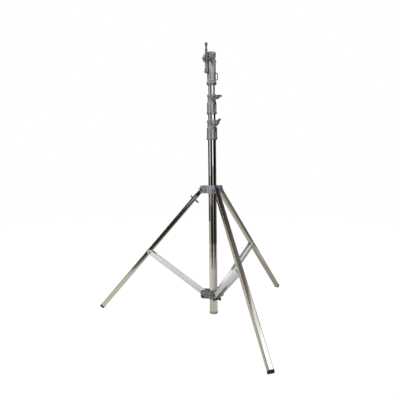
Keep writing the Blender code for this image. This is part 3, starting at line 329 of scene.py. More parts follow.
# Studio: pale floor, white surroundings, soft lamps, and boards and cloths that only metal sees
WHITE = (1.0, 1.0, 1.0, 1.0)
BLACK = (0.006, 0.006, 0.006)
ON_FLOOR = 0.002
LAMP_AIM = 0.7
SCREENS = (
    # name, distance, start and end azimuth, low and high edge, shade
    ("screen_left_behind", 2.05, -182, -79, 0.26, 2.1, BLACK),
    ("low_screen_left_behind", 2.05, -182, -79, ON_FLOOR, 0.26, (0.44, 0.415, 0.36)),
    ("screen_right_far", 2.05, 66, 105, 0.8, 2.1, BLACK),
    ("low_screen_right_far", 2.05, 92, 105, ON_FLOOR, 0.55, (0.22, 0.21, 0.19)),
    ("middle_screen_right_far", 2.05, 92, 105, 0.55, 0.8, (0.05, 0.048, 0.044)),
    ("screen_right_high", 2.05, 29, 37, 1.25, 2.1, BLACK),
    ("bright_screen_right", 2.06, 37, 56, 1.25, 1.95, (1.55, 1.56, 1.56)),
    ("screen_right_high_far", 2.05, 56, 66, 1.25, 2.1, BLACK),
    ("screen_left_near", 2.05, -54, -1, ON_FLOOR, 2.1, BLACK),
    ("screen_right", 2.05, 29, 66, ON_FLOOR, 1.25, BLACK),
    ("screen_right_low", 2.05, 66, 92, ON_FLOOR, 0.8, BLACK),
    ("screen_right_behind", 2.05, 105, 150, ON_FLOOR, 1.15, (0.1, 0.1, 0.095)),
    ("screen_high_behind", 2.05, 105, 180, 1.15, 2.3, (0.02, 0.02, 0.02)),
    ("low_screen_near", 2.05, -1, 29, ON_FLOOR, 0.6, (0.13, 0.125, 0.11)),
    ("middle_screen_near", 2.05, -1, 29, 0.6, 0.85, (0.4, 0.39, 0.37)),
    ("low_screen_left", 2.05, -79, -54, ON_FLOOR, 0.45, (0.34, 0.32, 0.29)),
    ("middle_screen_left", 2.05, -79, -54, 0.45, 0.75, (0.6, 0.59, 0.56)),
    ("grey_patch_left", 2.03, -29, -22, 0.43, 0.6, (0.42, 0.42, 0.4)),
)
DARK_SECTORS = (("left_near", -54, -1), ("right", 29, 66), ("right_low", 66, 92))
CLOTH_RINGS = ((1.66, 2.04, 0.03), (1.42, 1.66, 0.085), (1.22, 1.42, 0.17), (1.04, 1.22, 0.26))
CEILING_RINGS = (
    ("inner", 1.15, 2.83, 0.012), ("middle", 1.45, 2.84, 0.06), ("outer", 2.32, 2.85, 0.14))


def node_with(tree, kind, values):
    """A shader node with some of its input values set."""
    node = tree.nodes.new("ShaderNode" + kind)
    for socket, value in values.items():
        node.inputs[socket].default_value = value
    return node


def combined(tree, operation, first, second):
    """Two values through a maths node; the second may be a plain number."""
    node = tree.nodes.new("ShaderNodeMath")
    node.operation = operation
    tree.links.new(first, node.inputs[0])
    if isinstance(second, float):
        node.inputs[1].default_value = second
    else:
        tree.links.new(second, node.inputs[1])
    return node.outputs[0]


def seen_share(tree):
    """1 for rays from the camera and for reflections, 0 for the light itself."""
    path = tree.nodes.new("ShaderNodeLightPath").outputs
    first = combined(tree, "MAXIMUM", path["Is Camera Ray"], path["Is Glossy Ray"])
    return combined(tree, "MAXIMUM", first, path["Is Transmission Ray"])


def show_mix(tree, share, first, second, out):
    """Sends two shaders, mixed by a share, to the output."""
    mix = tree.nodes.new("ShaderNodeMixShader")
    tree.links.new(share, mix.inputs["Fac"])
    tree.links.new(first.outputs[0], mix.inputs[1])
    tree.links.new(second.outputs[0], mix.inputs[2])
    tree.links.new(mix.outputs[0], out.inputs["Surface"])


def blank_finish(name):
    """A material with nothing but its output, whose glow isn't sampled as a lamp."""
    finish = bpy.data.materials.new(name)
    finish.use_nodes = True
    finish.cycles.emission_sampling = "NONE"
    tree = finish.node_tree
    tree.nodes.clear()
    return finish, tree, tree.nodes.new("ShaderNodeOutputMaterial")


def set_surroundings():
    world = bpy.data.worlds.new("white_studio")
    bpy.context.scene.world = world
    world.use_nodes = True
    tree = world.node_tree
    tree.nodes.clear()
    out = tree.nodes.new("ShaderNodeOutputWorld")
    light = node_with(tree, "Background", {"Color": WHITE, "Strength": 0.055})
    seen = node_with(tree, "Background", {"Color": WHITE, "Strength": 1.0})
    show_mix(tree, seen_share(tree), light, seen, out)


def set_floor():
    """White paper that mostly glows for the camera and still takes a shadow."""
    bpy.ops.mesh.primitive_plane_add(size=40.0)
    floor = named("studio_floor")
    paper, tree, out = blank_finish("floor_paper")
    matt = node_with(tree, "BsdfDiffuse", {"Color": (0.5, 0.5, 0.49, 1.0)})
    glow = node_with(tree, "Emission", {"Color": WHITE, "Strength": 1.16})
    show_mix(tree, combined(tree, "MULTIPLY", seen_share(tree), 0.85), matt, glow, out)
    floor.data.materials.append(paper)


def soft_lamp(name, azimuth, distance, height, size, watts):
    out = station(azimuth, height, distance).translation
    bpy.ops.object.light_add(type="AREA", location=out)
    lamp = named(name)
    lamp.data.shape = "RECTANGLE"
    lamp.data.size, lamp.data.size_y = size
    lamp.data.energy = watts
    look = Vector((0.0, 0.0, LAMP_AIM)) - out
    lamp.rotation_euler = look.to_track_quat("-Z", "Y").to_euler()
    lamp.visible_glossy = False


def seen_in_metal(board, shade):
    """Makes a board that only shows in polished metal and casts no light or shadow."""
    cloth, tree, out = blank_finish(board.name + "_cloth")
    dull = node_with(tree, "Emission", {"Color": (*shade, 1.0), "Strength": 1.0})
    tree.links.new(dull.outputs[0], out.inputs["Surface"])
    board.data.materials.append(cloth)
    for ray in ("camera", "diffuse", "shadow", "transmission"):
        setattr(board, "visible_" + ray, False)


def curved_cloth(name, start, end, profile, shade):
    """A cloth round the set between two azimuths, drawn along (distance, height)."""
    board = turned(name, profile, 120)
    middle = radians((start + end) / 2)
    half = radians((end - start) / 2)

    def outside(at, way):
        turn = atan2(at.x, -at.y) - middle
        turn = atan2(sin(turn), cos(turn))
        lid = hypot(at.x, at.y) < 0.5
        return lid or abs(turn) > half

    pick(board, outside)
    bpy.ops.mesh.delete(type="FACE")
    done()
    seen_in_metal(board, shade)


def floor_mat():
    """A matt cloth on the floor round the stand, whose warm grey shows in the tubes."""
    place = (0.0, 0.0, 0.0015)
    bpy.ops.mesh.primitive_circle_add(vertices=96, radius=2.04, fill_type="NGON", location=place)
    mat = named("floor_mat")
    seen_in_metal(mat, (0.5, 0.47, 0.41))


def set_studio():
    bpy.context.scene.view_settings.view_transform = "Standard"
    set_surroundings()
    set_floor()
    soft_lamp("window_light", -20.0, 1.9, 3.3, (0.4, 0.5), 128.0)
    soft_lamp("side_light", -62.0, 3.4, 2.4, (1.0, 1.2), 46.0)
    soft_lamp("fill_light", 24.0, 3.6, 1.4, (1.4, 1.4), 10.0)
    soft_lamp("top_light", 170.0, 1.6, 3.4, (1.6, 1.6), 20.0)
    for name, distance, start, end, low, high, shade in SCREENS:
        curved_cloth(name, start, end, [(distance, low), (distance, high)], shade)
    for name, start, end in DARK_SECTORS:
        for number, (near, far, grey) in enumerate(CLOTH_RINGS):
            shade = (grey, grey * 0.92, grey * 0.77)
            flat = [(near, 0.004), (far, 0.004)]
            curved_cloth("cloth_%s_%d" % (name, number), start, end, flat, shade)
    curved_cloth("pale_cloth_left", -110, -30, [(0.3, 0.003), (1.4, 0.003)], (0.64, 0.61, 0.54))
    curved_cloth("grey_cloth_right", 40, 170, [(0.3, 0.003), (1.3, 0.003)], (0.35, 0.33, 0.29))
    for name, reach, height, grey in CEILING_RINGS:
        cloth = turned("ceiling_cloth_" + name, [(reach, height), (reach, height + 0.003)], 96)
        seen_in_metal(cloth, (grey, grey * 0.93, grey * 0.8))
    floor_mat()


# Finishes. Sizes of grain are metres along the piece's own directions
def bare_finish(name, colour, roughness, metallic):
    finish = bpy.data.materials.new(name)
    finish.use_nodes = True
    shader = finish.node_tree.nodes["Principled BSDF"]
    shader.inputs["Base Color"].default_value = (*colour, 1.0)
    shader.inputs["Roughness"].default_value = roughness
    shader.inputs["Metallic"].default_value = metallic
    return finish


def grain(finish, size, turn=(0.0, 0.0, 0.0), detail=4.0, seed=0.0):
    """A noise from 0 to 1 whose features have one size, or one along each direction."""
    tree = finish.node_tree
    where = tree.nodes.new("ShaderNodeTexCoord")
    place = tree.nodes.new("ShaderNodeMapping")
    place.vector_type = "TEXTURE"
    place.inputs["Location"].default_value = (seed, seed * 0.7, seed * 0.3)
    place.inputs["Rotation"].default_value = turn
    place.inputs["Scale"].default_value = size if isinstance(size, tuple) else (size, size, size)
    noise = node_with(tree, "TexNoise", {"Scale": 1.0, "Detail": detail, "Roughness": 0.55})
    tree.links.new(where.outputs["Object"], place.inputs["Vector"])
    tree.links.new(place.outputs["Vector"], noise.inputs["Vector"])
    return noise.outputs["Fac"]


def spread(finish, value, low=0.0, high=1.0, start=0.3, end=0.7):
    """Stretches the part of a value between start and end to low and high."""
    values = {"From Min": start, "From Max": end, "To Min": low, "To Max": high}
    node = node_with(finish.node_tree, "MapRange", values)
    finish.node_tree.links.new(value, node.inputs["Value"])
    return node.outputs["Result"]


def tinted(finish, share, first, second):
    """Two colours laid over each other by a share."""
    tree = finish.node_tree
    node = tree.nodes.new("ShaderNodeMix")
    node.data_type = "RGBA"
    for socket, colour in ((node.inputs[6], first), (node.inputs[7], second)):
        if isinstance(colour, tuple):
            socket.default_value = (*colour, 1.0)
        else:
            tree.links.new(colour, socket)
    tree.links.new(share, node.inputs[0])
    return node.outputs[2]


def worn(finish, coat, bare):
    """Rubs a coat off the outer edges, broken up by a grain."""
    tree = finish.node_tree
    shape = tree.nodes.new("ShaderNodeNewGeometry")
    edge = spread(finish, shape.outputs["Pointiness"], start=0.56, end=0.66)
    rub = spread(finish, grain(finish, 0.004, seed=0.31), 0.2)
    return tinted(finish, combined(tree, "MULTIPLY", edge, rub), coat, bare)


def painted_shade_in_hollows(finish, coat, reach, depth):
    """Painted shade where faces meet closely: an occlusion mask darkens the colour under the
    handles, in the slots and bends.
    """
    hollow = node_with(finish.node_tree, "AmbientOcclusion", {"Distance": reach})
    hollow.samples = 8
    share = spread(finish, hollow.outputs["AO"], depth, 0.0, 0.22, 0.82)
    return tinted(finish, share, coat, (0.018, 0.019, 0.022))


def surfaced(finish, colour, roughness, height, depth, strength):
    """Plugs a colour, a roughness and a fine relief into a finish."""
    tree = finish.node_tree
    shader = tree.nodes["Principled BSDF"]
    bump = node_with(tree, "Bump", {"Strength": strength, "Distance": depth})
    for value, node, socket in (
        (colour, shader, "Base Color"), (roughness, shader, "Roughness"),
        (height, bump, "Height"), (bump.outputs["Normal"], shader, "Normal"),
    ):
        tree.links.new(value, node.inputs[socket])
    return finish


def plated_tube(name, bright, dull, roughness, turn=(0.0, 0.0, 0.0), metallic=1.0):
    """Chrome plate on drawn steel: faint draw lines along the tube and small clouds."""
    finish = bare_finish(name, bright, roughness, metallic)
    cloud = grain(finish, (0.03, 0.03, 0.12), turn, seed=0.11)
    lines = grain(finish, (0.0009, 0.0009, 0.25), turn, detail=2.0, seed=0.05)
    coat = tinted(finish, spread(finish, cloud), bright, dull)
    rough = spread(finish, lines, roughness * 0.7, roughness * 1.6)
    return surfaced(finish, coat, rough, lines, 0.00001, 0.3)


def cast_paint(name, light, dark, bare):
    """Satin enamel on a die casting: fine orange peel, painted shade in hollows, rubbed edges."""
    finish = bare_finish(name, light, 0.22, 0.7)
    cloud = grain(finish, 0.02, seed=0.21)
    peel = grain(finish, 0.0011, detail=2.0, seed=0.41)
    coat = worn(finish, tinted(finish, spread(finish, cloud), dark, light), bare)
    # Painted shade: an occlusion mask darkens the paint in hollows and under the handles
    coat = painted_shade_in_hollows(finish, coat, 0.02, 0.85)
    return surfaced(finish, coat, spread(finish, cloud, 0.18, 0.24), peel, 0.00002, 0.12)


def zinc_plate(name, light, dark):
    """Bright zinc on pressed steel: bluish clouds, small spangles, painted shade in hollows."""
    finish = bare_finish(name, light, 0.28, 0.7)
    cloud = grain(finish, 0.014, seed=0.17)
    spangle = grain(finish, 0.0016, detail=3.0, seed=0.29)
    coat = tinted(finish, spread(finish, cloud, start=0.35, end=0.65), dark, light)
    # Painted shade: an occlusion mask darkens the zinc in bends and hollows
    coat = painted_shade_in_hollows(finish, coat, 0.03, 0.92)
    return surfaced(finish, coat, spread(finish, spangle, 0.2, 0.34), spangle, 0.00002, 0.2)


def galvanised(name, light, dark, turn):
    """Satin grey coated strip: rolled along its length, with pale rubbed edges."""
    finish = bare_finish(name, light, 0.5, 0.06)
    rolled = grain(finish, (0.0012, 0.0012, 0.06), turn, detail=3.0, seed=0.13)
    cloud = grain(finish, (0.025, 0.025, 0.05), turn, seed=0.33)
    coat = worn(finish, tinted(finish, spread(finish, cloud), dark, light), (0.72, 0.72, 0.71))
    return surfaced(finish, coat, spread(finish, rolled, 0.46, 0.6), rolled, 0.00001, 0.15)


def plain_steel(name, light, dark, roughness, metallic=1.0):
    """Machined or blackened steel with fine turning marks and dull spots."""
    finish = bare_finish(name, light, roughness, metallic)
    spots = grain(finish, 0.005, seed=0.19)
    marks = grain(finish, 0.0007, detail=2.0, seed=0.37)
    coat = tinted(finish, spread(finish, spots), dark, light)
    rough = spread(finish, marks, roughness * 0.75, roughness * 1.35)
    return surfaced(finish, coat, rough, marks, 0.00001, 0.2)


def black_rubber(name):
    """Moulded rubber: fine grain, pale dust on the rubbed edges."""
    finish = bare_finish(name, (0.012, 0.012, 0.012), 0.62, 0.0)
    skin = grain(finish, 0.0008, detail=3.0, seed=0.23)
    dust = grain(finish, 0.012, seed=0.27)
    black = tinted(finish, spread(finish, dust), (0.008, 0.008, 0.008), (0.02, 0.019, 0.018))
    coat = worn(finish, black, (0.055, 0.052, 0.048))
    return surfaced(finish, coat, spread(finish, skin, 0.5, 0.78), skin, 0.00012, 0.5)


def moulded_nylon(name):
    """Black nylon with faint flow marks."""
    finish = bare_finish(name, (0.03, 0.03, 0.032), 0.5, 0.0)
    flow = grain(finish, (0.006, 0.006, 0.003), seed=0.07)
    coat = tinted(finish, spread(finish, flow), (0.022, 0.022, 0.024), (0.045, 0.045, 0.047))
    return surfaced(finish, coat, spread(finish, flow, 0.42, 0.6), flow, 0.00005, 0.3)


def make_finishes():
    made = {
        "chrome": plated_tube("chrome_tube", (0.88, 0.875, 0.855), (0.82, 0.81, 0.785), 0.045),
        "casting": cast_paint(
            "grey_cast_paint", (0.37, 0.383, 0.388), (0.32, 0.333, 0.342), (0.47, 0.475, 0.475)),
        # A darker copy of the grey cast paint: painted shade on the head's wing handle
        "painted_shade_casting": cast_paint(
            "painted_shade_cast_paint",
            (0.215, 0.232, 0.255), (0.165, 0.18, 0.205), (0.34, 0.35, 0.36)),
        "zinc": zinc_plate("zinc_bracket", (0.56, 0.62, 0.69), (0.34, 0.395, 0.475)),
        # A darker copy of the zinc: painted shade on the base pressings, which get less light low
        # under the braces
        "dull_zinc": zinc_plate("painted_shade_zinc_bracket", (0.27, 0.3, 0.335), (0.15, 0.175, 0.21)),
        "steel": plain_steel("bright_steel", (0.6, 0.6, 0.59), (0.48, 0.48, 0.47), 0.3),
        "stud_steel": plain_steel("stud_steel", (0.36, 0.36, 0.355), (0.27, 0.27, 0.265), 0.24),
        "black_steel": plain_steel(
            "black_oxide_steel", (0.03, 0.03, 0.028), (0.016, 0.016, 0.015), 0.42, 0.4),
        "brass": plain_steel("brake_brass", (0.62, 0.44, 0.18), (0.5, 0.34, 0.13), 0.35),
        "nylon": moulded_nylon("black_nylon"),
        "rubber": black_rubber("black_rubber"),
        "end_cap": cast_paint(
            "pale_end_cap", (0.5, 0.475, 0.415), (0.44, 0.42, 0.365), (0.62, 0.6, 0.54)),
    }
    for name in STATIONS:
        turn = leg_place(name).to_euler()
        leg = plated_tube(
            "leg_chrome_" + name, (0.8, 0.775, 0.715), (0.74, 0.715, 0.65), 0.11, turn, 0.985)
        turn = brace_place(name).to_euler()
        brace = galvanised("brace_coat_" + name, (0.66, 0.667, 0.66), (0.6, 0.607, 0.6), turn)
        made["leg_" + name] = leg
        made["brace_" + name] = brace
    return made


def dress_frame():
    """Gives every CAD node the finish of its own material slot."""
    for name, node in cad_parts.items():
        slot = node.material_slots[0].material.name if node.material_slots else "steel"
        key = slot.split(".")[0]
        if key == "leg_chrome":
            key = "leg_" + name.rsplit("_", 1)[-1]
        elif key == "brace":
            key = name
        for holder in node.material_slots:
            holder.material = finishes.get(key, finishes["steel"])


# Turned pieces
def make_tubes():
    lower_top, upper_top = LOWER_COLLAR + COLLAR_TUBE_DEPTH, UPPER_COLLAR + COLLAR_TUBE_DEPTH
    for name, radius, wall, low, high, body in (
        ("column_pipe", COLUMN, COLUMN_WALL, COLUMN_FOOT + 0.0123, lower_top, "column"),
        ("first_riser_pipe", RISER_1, RISER_WALL, RISER_1_FOOT, upper_top, "riser_1"),
        ("second_riser_pipe", RISER_2, RISER_WALL, RISER_2_FOOT, HEAD + HEAD_TUBE_DEPTH, "riser_2"),
    ):
        inner = radius - wall
        profile = drawn(radius, low, (-0.4, 0), (0, 0.4))
        profile += drawn(radius, high, (0, -0.4), (-0.4, 0))
        profile += drawn(inner, high, (0.4, 0), (0, -0.4)) + drawn(inner, low, (0, 0.4), (0.4, 0))
        piece = turned(name, profile, 128, hollow=True)
        finished(piece, Matrix(), "chrome", body, "chrome", body + "_tube")


def make_end_plug():
    profile = drawn(
        0.0, COLUMN_FOOT, (6, 0), (19.5, 0), (22.2, 0.8), (23.8, 2.5), (24.5, 5.5), (24.4, 8.5),
        (23.6, 10.8), (22.6, 11.8), (20.2, 12), (20.2, 46.8), (19.6, 47), (15.2, 47),
        (15.2, 12), (6, 10))
    piece = turned("column_end_plug", profile, 72, hollow=True)
    finished(piece, Matrix(), "end_cap", "column", "end_cap", "column_foot_plug")


def make_guide_bushes():
    for name, bore, tube, foot in (
        ("riser_1", COLUMN - COLUMN_WALL, RISER_1, RISER_1_FOOT),
        ("riser_2", RISER_1 - RISER_WALL, RISER_2, RISER_2_FOOT),
    ):
        spigot = tube - RISER_WALL - GAP
        low = foot - 0.0063
        profile = drawn(spigot, low, (-3, 0))
        profile += drawn(bore - GAP, low, (-0.8, 0), (0, 0.8), (0, 5.2), (-0.8, 6))
        profile += drawn(spigot, low, (0, 6), (0, 21.2), (-1, 22.3), (-3, 22.3))
        piece = turned(name + "_lower_guide", profile, 72, hollow=True)
        finished(piece, Matrix(), "nylon", name, "nylon", name + "_guide_bush")


def make_stud():
    profile = drawn(
        0.0, 0.0, (5, -8), (5, 0.3), (7.8, 0.3), (8, 0.6), (8, 2.2), (7.7, 2.8),
        (5.8, 5.3), (5.5, 6.2), (5.5, 24.2), (5.8, 25), (7.7, 26.6), (8, 27.2), (8, 33),
        (7.8, 33.3), (8, 33.6), (8, 37.8), (7.6, 38.6), (6.2, 39.9), (5.5, 40), (2, 39.7))
    place = station(ARM_AZIMUTH, HEAD + ARM_TOP, ARM_RADIUS)
    finished(turned("arm_stud", profile), place, "stud_steel", "arm", "steel", "stud")


# Clamp collars and the head: turned castings with a screw boss and flats
def screw_boss(name, root):
    """A boss along X that flares where it meets the casting."""
    profile = drawn(0.0, root, (17, 0), (14, 3), (12.2, 5.5), (11.4, 9))
    profile += drawn(0.0, BOSS_REACH, (11, -1.6), (10.6, -0.5), (9.8, 0), (5.6, 0), (4.4, -1))
    profile += drawn(0.0, root, (4.4, 0))
    return moved(turned(name, profile, 48, hollow=True), facing("X"))


def make_collar(prefix, base, tube, riser, body):
    seat = tube + GAP
    sleeve = seat + 0.0057
    flange = sleeve + 0.0015
    bush_inner = riser + GAP
    bush_outer = bush_inner + 0.0018
    waist_bore = bush_outer + GAP
    waist = waist_bore + 0.0026
    bead = waist + 0.002
    top = COLLAR_HEIGHT
    ledge = COLLAR_TUBE_DEPTH + GAP
    shelf = ledge + 0.004
    profile = drawn(flange, 0.0, (-2.2, 0), (-0.8, 0.5), (0, 2), (0, 10.5), (-0.6, 12))
    profile += drawn(sleeve, 0.0, (0.3, 13), (0, 14.5), (0, 59.5), (-0.6, 61.5))
    profile += drawn(waist, 0.0, (0.8, 67.2), (0, 69))
    profile += drawn(waist, top, (0, -14.8), (0.5, -14))
    profile += drawn(
        bead, top, (-0.4, -12.6), (0, -11.2), (0, -3.4), (-0.6, -1.8), (-2, -0.3), (-3, 0))
    profile += drawn(waist_bore, top, (0.4, 0), (0, -0.4)) + [(waist_bore, shelf)]
    profile += [(bush_inner, shelf), (bush_inner, ledge), (seat, ledge)]
    profile += drawn(seat, 0.0, (0, 0.6), (0.6, 0))
    barrel = turned(prefix + "_clamp_collar", profile, 96, hollow=True)

    boss = moved(screw_boss(prefix + "_boss", waist_bore + 0.0008), shifted(z=COLLAR_SCREW))
    face = sleeve + 0.0016
    flat = block(prefix + "_flat", (waist_bore + 0.0012, -0.009, 0.011), (face, 0.009, 0.068))
    pick(flat, lambda at, way: abs(at.x - face) < NEAR and way.x > ALONG)
    inset(0.002)
    pull(-0.0007)
    done()
    pick(flat, lambda at, way: at.z > 0.0679 and at.x > face - NEAR, "VERT")
    shift(-0.003, 0.0, -0.001)
    done()
    rounded(flat, 0.0007)
    rib = block(
        prefix + "_seam", (-sleeve - 0.0005, -0.0006, 0.015), (-waist_bore - 0.001, 0.0006, 0.059))
    collar = welded(barrel, boss, flat, rounded(rib, 0.0003))
    finished(collar, station(COLLAR_AZIMUTH, base), "casting", body, "casting", prefix + "_collar")

    foot = shelf + GAP
    profile = [(bush_inner, foot), (bush_outer, foot)]
    profile += drawn(bush_outer, top, (0, -1.2), (-0.5, -0.6))
    profile += drawn(bush_inner, top, (0.6, -0.6), (0, -1.4))
    bush = turned(prefix + "_clamp_bush", profile, 72, hollow=True)
    finished(bush, shifted(z=base), "nylon", body, "nylon", prefix + "_collar_bush")


def make_head():
    profile = drawn(
        HEAD_RADIUS, 0.0, (-2.2, 0), (-0.8, 0.4), (3, 6.6), (4, 8.5), (4.2, 10.5), (4.2, 13.5),
        (3.6, 16), (2.4, 19), (1, 22.5), (0.2, 26), (0, 30), (0, 120.5), (-0.6, 122.8),
        (-2.2, 126.6), (-2.2, 147.6), (-1.4, 149), (0.4, 149.6), (1, 150.4), (1, 157.6),
        (0.4, 158.4), (-0.8, 159.4), (-0.8, 160.6), (0.4, 161.6), (1, 162.4), (1, 172.8),
        (0.5, 174), (-0.6, 174.5))
    profile += drawn(SOCKET, 0.0, (1.6, 174.5), (0, 173), (0, 89.5))
    profile += drawn(0.0, 0.0, (6, 89.5), (6, 60.3))
    profile += drawn(RISER_2 + GAP, 0.0, (0, 60.3), (0, 0.6), (0.6, 0))
    barrel = turned("socket_head", profile, 96, hollow=True)
    boss = moved(screw_boss("head_screw_boss", SOCKET + 0.004), station(HEAD_AZIMUTH, HEAD_SCREW))
    seam = block(
        "head_seam", (-HEAD_RADIUS - 0.0005, -0.0006, 0.036), (-HEAD_RADIUS + 0.001, 0.0006, 0.12))
    moved(rounded(seam, 0.0003), station(HEAD_AZIMUTH))

    lug = block("arm_lug", (HEAD_RADIUS * 0.8, -0.0035, 0.052), (ARM_PIVOT, 0.0035, 0.0771))
    pick(lug, lambda at, way: at.x > ARM_PIVOT - NEAR and at.z < 0.053, "VERT")
    shift(z=0.011)
    done()
    pick(lug, lambda at, way: at.x < HEAD_RADIUS and at.z > 0.077, "VERT")
    shift(z=0.0038)
    done()
    eye = ring("arm_lug_eye", 0.0034, 0.0071, -0.0035, 0.0035)
    moved(eye, shifted(ARM_PIVOT, 0.0, ARM_PIVOT_HEIGHT) @ facing("Y"))
    lug = moved(rounded(welded(lug, eye), 0.0006), station(ARM_AZIMUTH))
    profile = drawn(0.0, SOCKET, (10.5, 4), (8.8, 7.5))
    profile += drawn(0.0, 0.0, (8.5, 25.9), (7.8, 26.7), (4, 26.7))
    rest = moved(turned("arm_rest", profile, 40), station(ARM_AZIMUTH, HEAD_SCREW) @ facing("X"))
    head = welded(barrel, boss, seam, lug, rest)
    finished(head, shifted(z=HEAD), "casting", "riser_2", "casting", "head_casting")


# Wing handles: the screw's axis is X and the wings lie along Y
def wing_handle(name, half, bow, wide):
    deep, root = 0.0068, 0.009
    core = block(name, (-deep / 2, -root, -wide / 2), (deep / 2, root, wide / 2))
    tip = min(0.0098, wide * 0.8)
    for side in (1.0, -1.0):
        reach, width, thick, bent = root, wide, deep, 0.0
        for along, share in ((half * 0.5, 0.3), (half * 0.76, 0.74), (half, 1.0)):
            pick(core, lambda at, way: way.y * side > ALONG and abs(at.y - side * reach) < 0.0002)
            pull(bow * share - bent, side * (along - reach), 0.0)
            slim = wide + (tip - wide) * share
            flat = deep - 0.0016 * share
            stretch((flat / thick, 1.0, slim / width), (bow * share, side * along, 0.0))
            done()
            reach, width, thick, bent = along, slim, flat, bow * share
    pick(core, lambda at, way: abs(abs(at.y) - half) < NEAR and abs(way.x) > 0.8, "EDGE")
    bpy.ops.mesh.bevel(offset=tip * 0.34, segments=5)
    done()
    if wide > 0.015:
        pick(core, lambda at, way: abs(way.x) > 0.85 and 0.0088 < abs(at.y) < half * 0.8)
        inset(0.0022, -0.0008)
        done()
    return rounded(core, 0.0012, 3, 42.0)


def handle_hub(name, start):
    end = start + 0.0165
    profile = drawn(0.0, start, (3, 0), (7.3, 0), (8.3, 0.6), (8.5, 1.6))
    profile += drawn(
        0.0, end, (8.5, -3.8), (7.9, -2.2), (6.5, -0.8), (4.9, 0), (4.2, 0), (3.6, -0.8),
        (1, -1))
    return moved(turned(name, profile, 48), facing("X"))


def threaded_rod(name, start, end):
    """A screw shank with its thread as close rings."""
    pitch = 0.00125
    profile = drawn(0.0, start, (3.3, 0), (3.9, 0.5))
    for turn in range(int((end - start - 0.002) / pitch)):
        profile += drawn(0.0, start + 0.0006 + turn * pitch, (3.9, 0.1), (3.4, 0.5), (3.9, 0.9))
    profile += drawn(0.0, end, (3.9, 0))
    return moved(turned(name, profile, 24), facing("X"))


def make_handle(
        name, place, start, half, body, node, bow=0.0, shank=None, wide=0.022, skin="casting"):
    core = moved(wing_handle(name, half, bow, wide), shifted(start + 0.0074))
    handle = welded(core, handle_hub(name + "_hub", start))
    if shank:
        rod = threaded_rod(name + "_shank", shank, start + 0.004)
        finished(rod, place, "steel", body, "steel")
    finished(handle, place, skin, body, "casting", node)


def make_clamps():
    front = BOSS_REACH + 0.002
    for prefix, base, riser, tilt in (
        ("lower", LOWER_COLLAR, RISER_1, 47.0),
        ("upper", UPPER_COLLAR, RISER_2, 17.0),
    ):
        place = station(COLLAR_AZIMUTH, base + COLLAR_SCREW) @ spun(tilt, "X")
        body = prefix + "_lock"
        rod = threaded_rod(prefix + "_clamp_screw", riser + 0.0027, SCREW_END)
        finished(rod, place, "steel", body, "steel", prefix + "_collar_screw")
        node = prefix + "_collar_handle"
        make_handle(prefix + "_clamp_wing", place, front, 0.035, body, node, 0.0016)
    place = station(HEAD_AZIMUTH, HEAD + HEAD_SCREW) @ spun(-58.0, "X")
    rod = threaded_rod("socket_screw", SOCKET + 0.001, SCREW_END)
    finished(rod, place, "steel", "socket_lock", "steel", "head_screw")
    # The head's wing handle takes the darker copy of the cast paint: painted shade
    make_handle(
        "socket_wing", place, front, 0.035, "socket_lock", "head_handle", 0.0016,
        skin="painted_shade_casting")
    place = station(ARM_AZIMUTH, HEAD + HEAD_SCREW) @ spun(90.0, "X")
    make_handle("arm_wing", place, 0.0425, 0.021, "arm_lock", "arm_handle", 0.0, 0.0275, 0.0085)
    place = station(STATIONS["rear"] + 60.0, HUB)
    make_handle("hub_wing", place, 0.0351, 0.028, "hub_lock", "hub_lock_handle", 0.0012, 0.0231)
    place = level_clamp_place()
    make_handle(
        "level_wing", place, 0.0228, 0.031, "level_lock", "level_handle", 0.003, 0.0108, 0.01)


# Side arm
def make_arm():
    inner = ARM_RADIUS - 0.0056 - ARM_PIVOT
    outer = inner + 0.0112
    top = ARM_TOP - ARM_PIVOT_HEIGHT
    shoulder = top - 0.006
    arm = block("folding_arm", (inner, -0.0066, 0.0135), (outer, 0.0066, shoulder))
    pick(arm, lambda at, way: way.z > ALONG)
    pull(z=0.006)
    stretch((0.6, 0.8, 1.0), ((inner + outer) / 2, 0.0, top))
    done()
    pick(arm, lambda at, way: way.x > ALONG and 0.02 < at.z < shoulder)
    inset(0.0034, -0.0009)
    done()
    pick(arm, lambda at, way: abs(way.y) > ALONG and 0.02 < at.z < shoulder)
    inset(0.0024, -0.0006, each=True)
    done()
    rounded(arm, 0.001, 3)
    bridge = block("fork_bridge", (inner, -0.0093, 0.0128), (outer + 0.0006, 0.0093, 0.0165))
    parts = [arm, rounded(bridge, 0.0009, 3)]
    for side in (-1.0, 1.0):
        low, high = sorted((side * 0.0038, side * 0.0093))
        cheek = block("fork_cheek", (inner, low, 0.0), (outer + 0.0006, high, 0.014))
        pick(cheek, lambda at, way: way.z < -ALONG)
        pull(z=-0.0062)
        stretch((0.55, 1.0, 1.0), (0.0, 0.0, -0.0062))
        done()
        rounded(cheek, 0.0014, 3)
        eye = rounded(ring("fork_eye", 0.0034, 0.0074, low, high), 0.0005)
        parts += [cheek, moved(eye, facing("Y"))]
    finished(welded(*parts), arm_place(), "casting", "arm", "casting", "side_arm")


# Bolts
def round_bolt(name, half_grip, radius, head, tall):
    """A rivet-like pin along Y with a domed head and washer at each end."""
    end = half_grip + tall
    half = [(radius, half_grip), (head - 0.0002, half_grip), (head, half_grip + 0.0004)]
    half += [(head * 0.93, end - tall * 0.62), (head * 0.75, end - tall * 0.3)]
    half += [(head * 0.45, end - 0.0002), (0.0012, end)]
    profile = [(out, -up) for out, up in reversed(half)]
    return moved(turned(name, profile + half, 40), facing("Y"))


